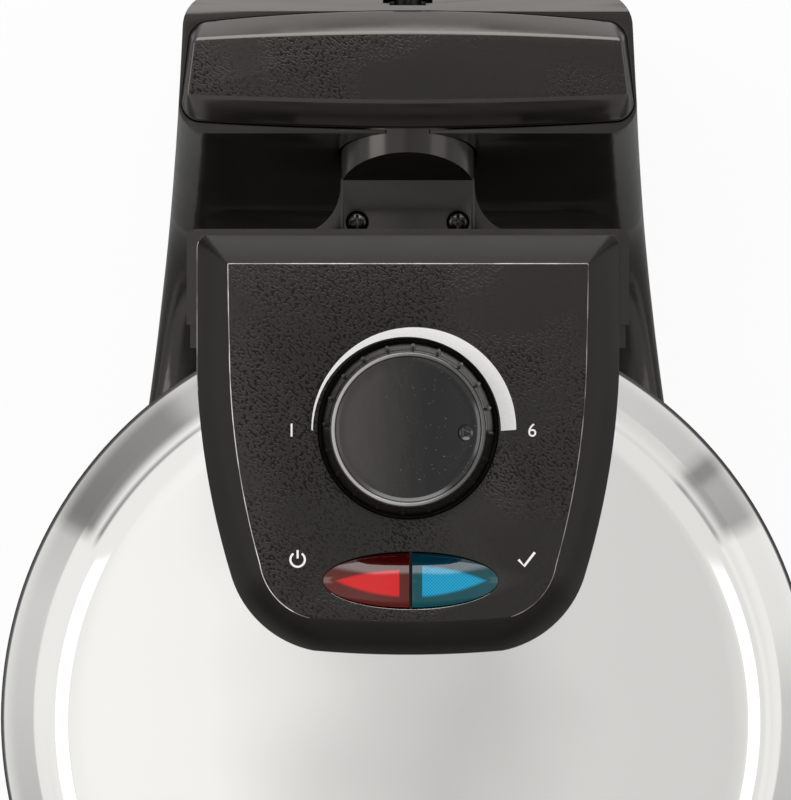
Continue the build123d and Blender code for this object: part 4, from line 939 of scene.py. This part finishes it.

# the knob's ABS: handled, so hazier towards the left, with fine dust in the gloss; its colour is
# also painted lighter towards the left, a painted sheen
knob_abs, tree, shader, where = new_finish("handled_black_abs", {"IOR": 1.5})
across, along, up = add_node(tree, "ShaderNodeSeparateXYZ", [where]).outputs
wiped_along = add_node(tree, "ShaderNodeMapping", {
    "Vector": where, "Scale": (1 / (1.4 * MM), 1 / (6.0 * MM), 1 / (6.0 * MM))})
streak = add_node(tree, "ShaderNodeTexNoise", {"Vector": wiped_along, "Scale": 1.0,
                                               "Detail": 4.0})
wiped = add_node(tree, "ShaderNodeMath", [streak, 9 * MM, across], operation="MULTIPLY_ADD")
haze = add_node(tree, "ShaderNodeMapRange", [wiped, -14 * MM, 14 * MM, 1.0, 0.0], **SOFT_ENDS)
dust = add_node(tree, "ShaderNodeTexNoise", {"Vector": where, "Scale": 1 / (0.55 * MM),
                                             "Detail": 1.0})
grains = add_node(tree, "ShaderNodeMapRange", [dust, 0.72, 0.78, 0.0, 0.5], **SOFT_ENDS)
unwiped = add_node(tree, "ShaderNodeMapRange", [haze, 0.0, 1.0, 1.0, 0.1], **SOFT_ENDS)
specks = add_node(tree, "ShaderNodeMath", [grains, unwiped], operation="MULTIPLY")
# painted sheen: the base colour is lighter where the haze is, towards the left
tone = add_node(tree, "ShaderNodeMix", [haze, linear("0d0c0c"), linear("34302e")],
                data_type="RGBA")
dusty = add_node(tree, "ShaderNodeMix", [specks, tone, linear("8c8a88")], data_type="RGBA")
# painted highlight on the bead's top, brightest at the left
on_bead = add_node(tree, "ShaderNodeMapRange", [up, (KNOB_TOP_Z - 0.16) * MM,
                                                (KNOB_TOP_Z - 0.04) * MM], **SOFT_ENDS)
drift = add_node(tree, "ShaderNodeMath", [along, -0.2], operation="MULTIPLY")
to_left = add_node(tree, "ShaderNodeMath", [drift, across], operation="SUBTRACT")
lit_side = add_node(tree, "ShaderNodeMapRange", [to_left, -26 * MM, 4 * MM, 0.2, 1.0], **SOFT_ENDS)
bead_highlight = add_node(tree, "ShaderNodeMath", [on_bead, lit_side], operation="MULTIPLY")
# the bead's painted highlight colour is mixed in here
with_bead_highlight = add_node(tree, "ShaderNodeMix", [bead_highlight, dusty, linear("a8a5a2")], data_type="RGBA")
# the skirt below the bead lies in the well's shade
behind_axis = add_node(tree, "ShaderNodeMath", [along, HEAD_Y + KNOB_Y * MM],
                       operation="SUBTRACT")
level = add_node(tree, "ShaderNodeCombineXYZ", [across, behind_axis])
from_axis = add_node(tree, "ShaderNodeVectorMath", [level], operation="LENGTH")
on_skirt = add_node(tree, "ShaderNodeMapRange", [from_axis, 20.2 * MM, 20.5 * MM], **SOFT_ENDS)
body_tone = add_node(tree, "ShaderNodeMix", [on_skirt, with_bead_highlight, linear("0a0909")],
                     data_type="RGBA")
painted_shade_tint = add_node(tree, "ShaderNodeMix", [on_skirt, linear("ffffff"), linear("7a7672")],
                 data_type="RGBA")
hazy = add_node(tree, "ShaderNodeMapRange", [haze, 0.0, 1.0, 0.12, 0.24], **SOFT_ENDS)
dull = add_node(tree, "ShaderNodeMath", [on_skirt, 0.34], operation="MULTIPLY")
rough = add_node(tree, "ShaderNodeMath", [hazy, dull], operation="MAXIMUM")
set_inputs(shader, {"Base Color": body_tone, "Specular Tint": painted_shade_tint, "Roughness": rough})
stand_for(dial, "knob", "black_plastic", knob_abs, "dial_knob")


def repeat_tree(name, inputs):
    """An empty Geometry Nodes tree with named inputs, given as title: socket kind."""
    made = bpy.data.node_groups.new(name, "GeometryNodeTree")
    made.interface.new_socket("Geometry", in_out="OUTPUT", socket_type="NodeSocketGeometry")
    for title, kind in inputs.items():
        made.interface.new_socket(title, in_out="INPUT", socket_type=f"NodeSocket{kind}")
    return made, made.nodes.new("NodeGroupInput").outputs


def finish_tree(tree, instances, finish):
    """Ends a tree: the instances become a mesh of their own and get their finish."""
    real = add_node(tree, "GeometryNodeRealizeInstances", {"Geometry": instances})
    coated = add_node(tree, "GeometryNodeSetMaterial", {"Geometry": real, "Material": finish})
    add_node(tree, "NodeGroupOutput", [coated])


def grow(name, made, values):
    """Runs a Geometry Nodes tree with its inputs set, and leaves its result as a plain mesh."""
    piece = link(name, bpy.data.meshes.new(name))
    repeat = piece.modifiers.new("repeat", "NODES")
    repeat.node_group = made
    for socket in made.interface.items_tree:
        if socket.in_out == "INPUT":
            repeat[socket.identifier] = values[socket.name]
    apply_modifiers(piece)
    return piece


ribs, given = repeat_tree("finger_ribs", {
    "Count": "Int", "Ring radius": "Float", "Half size": "Vector", "Lean": "Float",
    "First": "Float", "Middle": "Vector", "Finish": "Material"})
ball = add_node(ribs, "GeometryNodeMeshUVSphere", {"Segments": 12, "Rings": 10, "Radius": 1.0})
long_ball = add_node(ribs, "GeometryNodeTransform", {"Geometry": ball,
                                                     "Scale": given["Half size"]})
lean = add_node(ribs, "ShaderNodeCombineXYZ", {"Y": given["Lean"]})
leaning = add_node(ribs, "GeometryNodeTransform", {"Geometry": long_ball, "Rotation": lean})
step = add_node(ribs, "ShaderNodeMath", [2 * pi, given["Count"]], operation="DIVIDE")
index = add_node(ribs, "GeometryNodeInputIndex")
angle = add_node(ribs, "ShaderNodeMath", [step, index, given["First"]],
                 operation="MULTIPLY_ADD")
cosine = add_node(ribs, "ShaderNodeMath", [angle], operation="COSINE")
sine = add_node(ribs, "ShaderNodeMath", [angle], operation="SINE")
spot = add_node(ribs, "ShaderNodeCombineXYZ", [
    add_node(ribs, "ShaderNodeMath", [cosine, given["Ring radius"]], operation="MULTIPLY"),
    add_node(ribs, "ShaderNodeMath", [sine, given["Ring radius"]], operation="MULTIPLY")])
spots = add_node(ribs, "GeometryNodePoints", {"Count": given["Count"], "Position": spot})
facing = add_node(ribs, "ShaderNodeCombineXYZ", {"Z": angle})
ring = add_node(ribs, "GeometryNodeInstanceOnPoints", {"Points": spots, "Instance": leaning,
                                                       "Rotation": facing})
moved = add_node(ribs, "GeometryNodeTransform", {"Geometry": ring,
                                                 "Translation": given["Middle"]})
finish_tree(ribs, moved, given["Finish"])
grips = grow("dial_finger_ribs", ribs, {
    "Count": RIB_COUNT, "Ring radius": RIB_RING_R * MM, "Lean": RIB_LEAN, "First": RIB_FIRST,
    "Half size": tuple(size * MM for size in RIB_HALF_SIZE), "Finish": knob_abs,
    "Middle": at_head(0, KNOB_Y, KNOB_FOOT_Z + RIB_MIDDLE_H)})
smooth(grips.data, 40)
stand_for(grips, "knob", "black_plastic", None)

tip = [(DIMPLE_X - 0.95, DIMPLE_Y - 1.25), (DIMPLE_X + 1.35, DIMPLE_Y),
       (DIMPLE_X - 0.95, DIMPLE_Y + 1.25)]
pointer = lofted("dial_pointer", [at_height(tip, DIMPLE_Z - 0.2),
                                  at_height(tip, KNOB_TOP_Z - 1.3)])
round_edges(pointer, 0.22, 30, segments=2)
smooth(pointer.data, 20)
stand_for(pointer, "knob", "black_plastic", knob_abs)
stem = turned("dial_stem", [(0.0, KNOB_FOOT_Z - 3), (STEM_R, KNOB_FOOT_Z - 3),
                            (STEM_R, KNOB_FOOT_Z + 1), (0.0, KNOB_FOOT_Z + 1)], 32,
              (0.0, KNOB_Y))
smooth(stem.data, 30)
stand_for(stem, "knob", "black_plastic", gloss_abs)


# Signal lens: an oval of tinted acrylic, one half red and one half blue, moulded as a deep
# clear dome. A lit shape with fine prisms shows through the middle of each half, and the rest
# is dark; it drops into the panel with a narrow gap round it.
LENS_DOME, LENS_SPLIT, LENS_SUNK, LENS_FOOT = 3.6, 0.4, 0.2, 3.0
DOME_R = (LENS_B ** 2 + LENS_DOME ** 2) / (2 * LENS_DOME)
LENS_RINGS, LENS_STEPS = 18, 48
LIT_FROM, LIT_TO, LIT_FRONT, LIT_SOFT = 3.0, 19.9, 4.3, 0.1
PRISM = 0.6                   # the prisms stand 0.45 mm apart, and are drawn wider to show


def lens_half(name, keep):
    """Domed half of the oval; keep is -1 for the left half and 1 for the right one."""
    def oval_row(share, z):
        """Points round the half at a share of its full width and length, at one height."""
        turns = [-pi / 2 + pi * k / LENS_STEPS for k in range(LENS_STEPS + 1)]
        return [at_head(LENS_X + keep * (LENS_SPLIT + LENS_A * share * cos(a)),
                        LENS_Y + LENS_B * share * sin(a), z) for a in turns]

    verts, faces = [], []
    for j in range(LENS_RINGS + 1):
        share = cos(j / LENS_RINGS * pi / 2)
        dome = sqrt(DOME_R ** 2 - (LENS_B * share) ** 2) - DOME_R + LENS_DOME
        verts += oval_row(share, PANEL_FACE_Z - LENS_SUNK + dome)
    base = len(verts)
    verts += oval_row(1.0, PANEL_FACE_Z - LENS_FOOT)
    side = LENS_STEPS + 1
    for j in range(LENS_RINGS):
        for k in range(LENS_STEPS):
            faces.append((j * side + k, j * side + k + 1, (j + 1) * side + k + 1,
                          (j + 1) * side + k))
    for k in range(LENS_STEPS):
        faces.append((base + k, base + k + 1, k + 1, k))
    faces.append(tuple(base + k for k in range(LENS_STEPS, -1, -1)))
    cut_edge = [j * side for j in range(LENS_RINGS + 1)]
    other_edge = [j * side + LENS_STEPS for j in range(LENS_RINGS, -1, -1)]
    faces.append(tuple([base] + cut_edge + other_edge + [base + LENS_STEPS]))
    piece = closed_piece(name, verts, faces)
    round_edges(piece, 0.28, 50)
    smooth(piece.data, 40)
    return piece


def lens_material(name, lit, shaded, around, far_rim, lit_back, lattice):
    """Tinted acrylic over a lamp's diffuser: the lit shape ends square at the split and in a
    point at the far end, and prisms break it into a diamond lattice. Colours go from the lit
    shape to the dark of the well and the rim behind."""
    acrylic, tree, shader, where = new_finish(name, {"Roughness": 0.05, "IOR": 1.43})
    middle = add_node(tree, "ShaderNodeMapping", {
        "Vector": where, "Location": tuple(-c for c in at_head(LENS_X, LENS_Y, PANEL_FACE_Z))})
    x, y, z = add_node(tree, "ShaderNodeSeparateXYZ", [middle]).outputs
    off = add_node(tree, "ShaderNodeMath", [x], operation="ABSOLUTE")
    behind = add_node(tree, "ShaderNodeMath", [y, 0.0], operation="MAXIMUM")
    before = add_node(tree, "ShaderNodeMath", [y, 0.0], operation="MINIMUM")
    out = add_node(tree, "ShaderNodeMath", [off, 1 / (LIT_TO * MM)], operation="MULTIPLY")
    reach = add_node(tree, "ShaderNodeMath", [out, 2.1], operation="POWER")
    reach = add_node(tree, "ShaderNodeMath", [behind, 1 / (lit_back * MM), reach],
                     operation="MULTIPLY_ADD")
    reach = add_node(tree, "ShaderNodeMath", [before, -1 / (LIT_FRONT * MM), reach],
                     operation="MULTIPLY_ADD")
    pointed = add_node(tree, "ShaderNodeMapRange", [reach, 0.84, 1.1, 1.0, 0.0], **SOFT_ENDS)
    square = add_node(tree, "ShaderNodeMapRange", [off, (LIT_FROM - LIT_SOFT) * MM,
                                                   (LIT_FROM + LIT_SOFT) * MM], **SOFT_ENDS)
    shape = add_node(tree, "ShaderNodeMath", [pointed, square], operation="MULTIPLY")
    diagonal = add_node(tree, "ShaderNodeMapping", {"Vector": middle,
                                                    "Rotation": (0, 0, pi / 4)})
    dots = add_node(tree, "ShaderNodeTexVoronoi", {
        "Vector": diagonal, "Scale": 1 / (PRISM * MM), "Randomness": 0.0},
        distance="MANHATTAN", voronoi_dimensions="2D")
    prism = add_node(tree, "ShaderNodeMapRange", [dots, 0.2, 0.75, 1.0, 1.0 - lattice],
                     **SOFT_ENDS)
    glowing = add_node(tree, "ShaderNodeMix", [prism, linear(shaded), linear(lit)],
                       data_type="RGBA")
    back = add_node(tree, "ShaderNodeMapRange", [y, 1.5 * MM, 5.6 * MM], **SOFT_ENDS)
    dark = add_node(tree, "ShaderNodeMix", [back, linear(around), linear(far_rim)],
                    data_type="RGBA")
    seen_through = add_node(tree, "ShaderNodeMix", [shape, dark, glowing], data_type="RGBA")
    set_inputs(shader, {"Base Color": seen_through, "Emission Color": seen_through,
                        "Emission Strength": 0.06})
    return acrylic


red = lens_material("red_acrylic", "cc1418", "a40c10", "54140b", "340505",
                    lit_back=3.0, lattice=0.3)
blue = lens_material("blue_acrylic", "00acdc", "00728f", "00454c", "042a3a",
                     lit_back=4.1, lattice=1.0)
stand_for(lens_half("power_lens_red", -1), "lid", "red_lens", red, "power_lens")
stand_for(lens_half("ready_lens_blue", 1), "lid", "blue_lens", blue, "ready_lens")


# Hinge block and sleeve: one glossy ABS moulding that carries the head. Ears on the block hold
# the lid's pin, two cap screws fasten the block, and the sleeve turns in the tower's bearings.
carrier = cad_copy("hinge_block_and_sleeve", "hinge_carrier", bevel=0.6)
stand_for(carrier, "head", "black_plastic", gloss_abs, "hinge_carrier")


# Cap screws: two cold-headed steel screws with a domed head and a cross recess, oxidised
# black. They stand in the hinge block, one each side.
HEAD_R, HEAD_H, SHANK_R, SHANK_L = 3.15, 1.9, 1.5, 6.0
RECESS_W, RECESS_L, RECESS_D = 0.95, 4.1, 1.3
RECESS_FOOT, RECESS_MOUTH, ABOVE_HEAD = 0.7, 1.06, 0.6

# blackened steel: dark satin metal, worn bright in spots where drivers have touched it
black_steel, tree, shader, where = new_finish("blackened_steel", {"Metallic": 1.0,
                                                                  "Roughness": 0.3})
worn = add_node(tree, "ShaderNodeTexNoise", {"Vector": where, "Scale": 1 / (1.2 * MM),
                                             "Detail": 4.0})
bare = add_node(tree, "ShaderNodeMapRange", [worn, 0.4, 0.65], **SOFT_ENDS)
tone = add_node(tree, "ShaderNodeMix", [bare, linear("1f1e1d"), linear("4c4a48")],
                data_type="RGBA")
set_inputs(shader, {"Base Color": tone})

screw_low, screw_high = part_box("hinge_screws")
head_line = [(0.0, -SHANK_L), (SHANK_R, -SHANK_L), (SHANK_R, -HEAD_H), (HEAD_R, -HEAD_H)]
head_line += three_point_arc((HEAD_R, 0.5 - HEAD_H), (HEAD_R * 0.72, -0.32), (0.0, 0.0), 10)
head_line += [(0.0, 0.0)]
screw = turned("cap_screw", head_line, 40)
for wide, deep in ((RECESS_L, RECESS_W), (RECESS_W, RECESS_L)):
    slot = [(wide / 2, -deep / 2), (wide / 2, deep / 2), (-wide / 2, deep / 2),
            (-wide / 2, -deep / 2)]
    cut(screw, lofted("recess", [
        [(share * x, share * y, z) for x, y in slot]
        for share, z in ((RECESS_FOOT, -RECESS_D), (RECESS_MOUTH, ABOVE_HEAD))]))
for v in screw.data.vertices:
    v.co.y -= HEAD_Y
pair, given = repeat_tree("cap_screw_pair", {
    "Screw": "Object", "Count": "Int", "First": "Vector", "Apart": "Vector",
    "Finish": "Material"})
row = add_node(pair, "GeometryNodeMeshLine", {
    "Count": given["Count"], "Start Location": given["First"], "Offset": given["Apart"]})
pattern = add_node(pair, "GeometryNodeObjectInfo", {"Object": given["Screw"]})
placed = add_node(pair, "GeometryNodeInstanceOnPoints", {
    "Points": row, "Instance": pattern.outputs["Geometry"]})
finish_tree(pair, placed, given["Finish"])
screw_x = screw_high[0] - HEAD_R * MM
screws = grow("hinge_block_screws", pair, {
    "Screw": screw, "Count": 2, "Finish": black_steel, "Apart": (2 * screw_x, 0, 0),
    "First": (-screw_x, (screw_low[1] + screw_high[1]) / 2, screw_high[2])})
bpy.data.objects.remove(screw)
smooth(screws.data, 35)
stand_for(screws, "head", "screw_black", None, "hinge_screws")


# Inner and lower pieces: what shows when the lid is up, the head is over or the tray is out.
# Each keeps its CAD shape, with its edges rounded, and gets the finish of the real piece.
def plain_material(name, colour, metallic, roughness, grit, strength):
    """A finish with a fine even surface: colour, gloss, and the size of its grit in mm."""
    finish, tree, shader, where = new_finish(name, {"Base Color": linear(colour),
                                                    "Metallic": metallic})
    fleck = roughen(shader, where, grit, detail=3.0, strength=strength, depth=0.1)
    rough = add_node(tree, "ShaderNodeMapRange", [fleck, 0.3, 0.7, roughness * 0.85,
                                                  roughness * 1.15])
    set_inputs(shader, {"Roughness": rough})
    return finish


# PTFE coating, sprayed on cast aluminium: blue-black, satin, with a fine sprayed grit
coated = plain_material("non_stick_coating", "26262a", 0.0, 0.34, 0.35, 0.2)
# zinc plate on steel: a cool grey shine with slight crystals
zinc = plain_material("zinc_plated_steel", "b9b8b4", 1.0, 0.3, 0.6, 0.1)
# drawn nickel alloy tube round the heating wire: brown-grey and dull from its first heat
sheathed = plain_material("nickel_alloy_heater_sheath", "6f6a63", 1.0, 0.45, 0.5, 0.15)
# rolled aluminium sheet: bright and nearly plain
bright_sheet = plain_material("rolled_aluminium", "d2d2d0", 1.0, 0.22, 1.5, 0.1)
# moulded rubber: matte black that takes no reflection
rubber = plain_material("moulded_rubber", "1a1a1a", 0.0, 0.7, 0.4, 0.3)
# machined acetal in its natural white: waxy, with almost no grain
acetal = plain_material("natural_acetal", "dedcd2", 0.0, 0.4, 0.8, 0.08)
# blown lamp glass with its warm filament behind: smooth and amber white
glass = plain_material("lamp_glass", "e8d9c4", 0.0, 0.1, 2.0, 0.02)

# each piece's finish, the body it rides on, and the rounding of its edges in mm
rest = {
    "bottom_plate": (phenolic, "base", 0.5), "tray_runner": (phenolic, "base", 0.3),
    "rubber_feet": (rubber, "base", 0.3), "drip_tray": (gloss_abs, "drip_tray", 0.6),
    "front_bush": (acetal, "base", 0.2), "rear_bush": (acetal, "base", 0.2),
    "flip_stop_ring": (zinc, "base", 0.2), "hinge_pin": (zinc, "head", 0.3),
    "shaft_clip": (zinc, "head", 0.1),
    "lower_waffle_plate": (coated, "head", 0.7), "lower_heater": (sheathed, "head", 0.0),
    "lower_reflector": (bright_sheet, "head", 0.0), "handle_bracket": (phenolic, "head", 0.5),
    "handle_pin": (zinc, "head", 0.2), "upper_waffle_plate": (coated, "lid", 0.7),
    "upper_heater": (sheathed, "lid", 0.0), "upper_reflector": (bright_sheet, "lid", 0.0),
    "power_lamp": (glass, "lid", 0.0), "ready_lamp": (glass, "lid", 0.0),
    "thermostat": (zinc, "lid", 0.2), "lid_handle": (gloss_abs, "lid", 0.7),
    "flip_handle": (gloss_abs, "handle", 1.2),
}
slots = {s["node"]: s["material_slot"] for s in frame["record"]["subparts"]}
for node_name, (finish, body, edge) in rest.items():
    piece = cad_copy(f"{node_name}_piece", node_name, bevel=edge, segments=2)
    stand_for(piece, body, slots[node_name], finish, node_name)
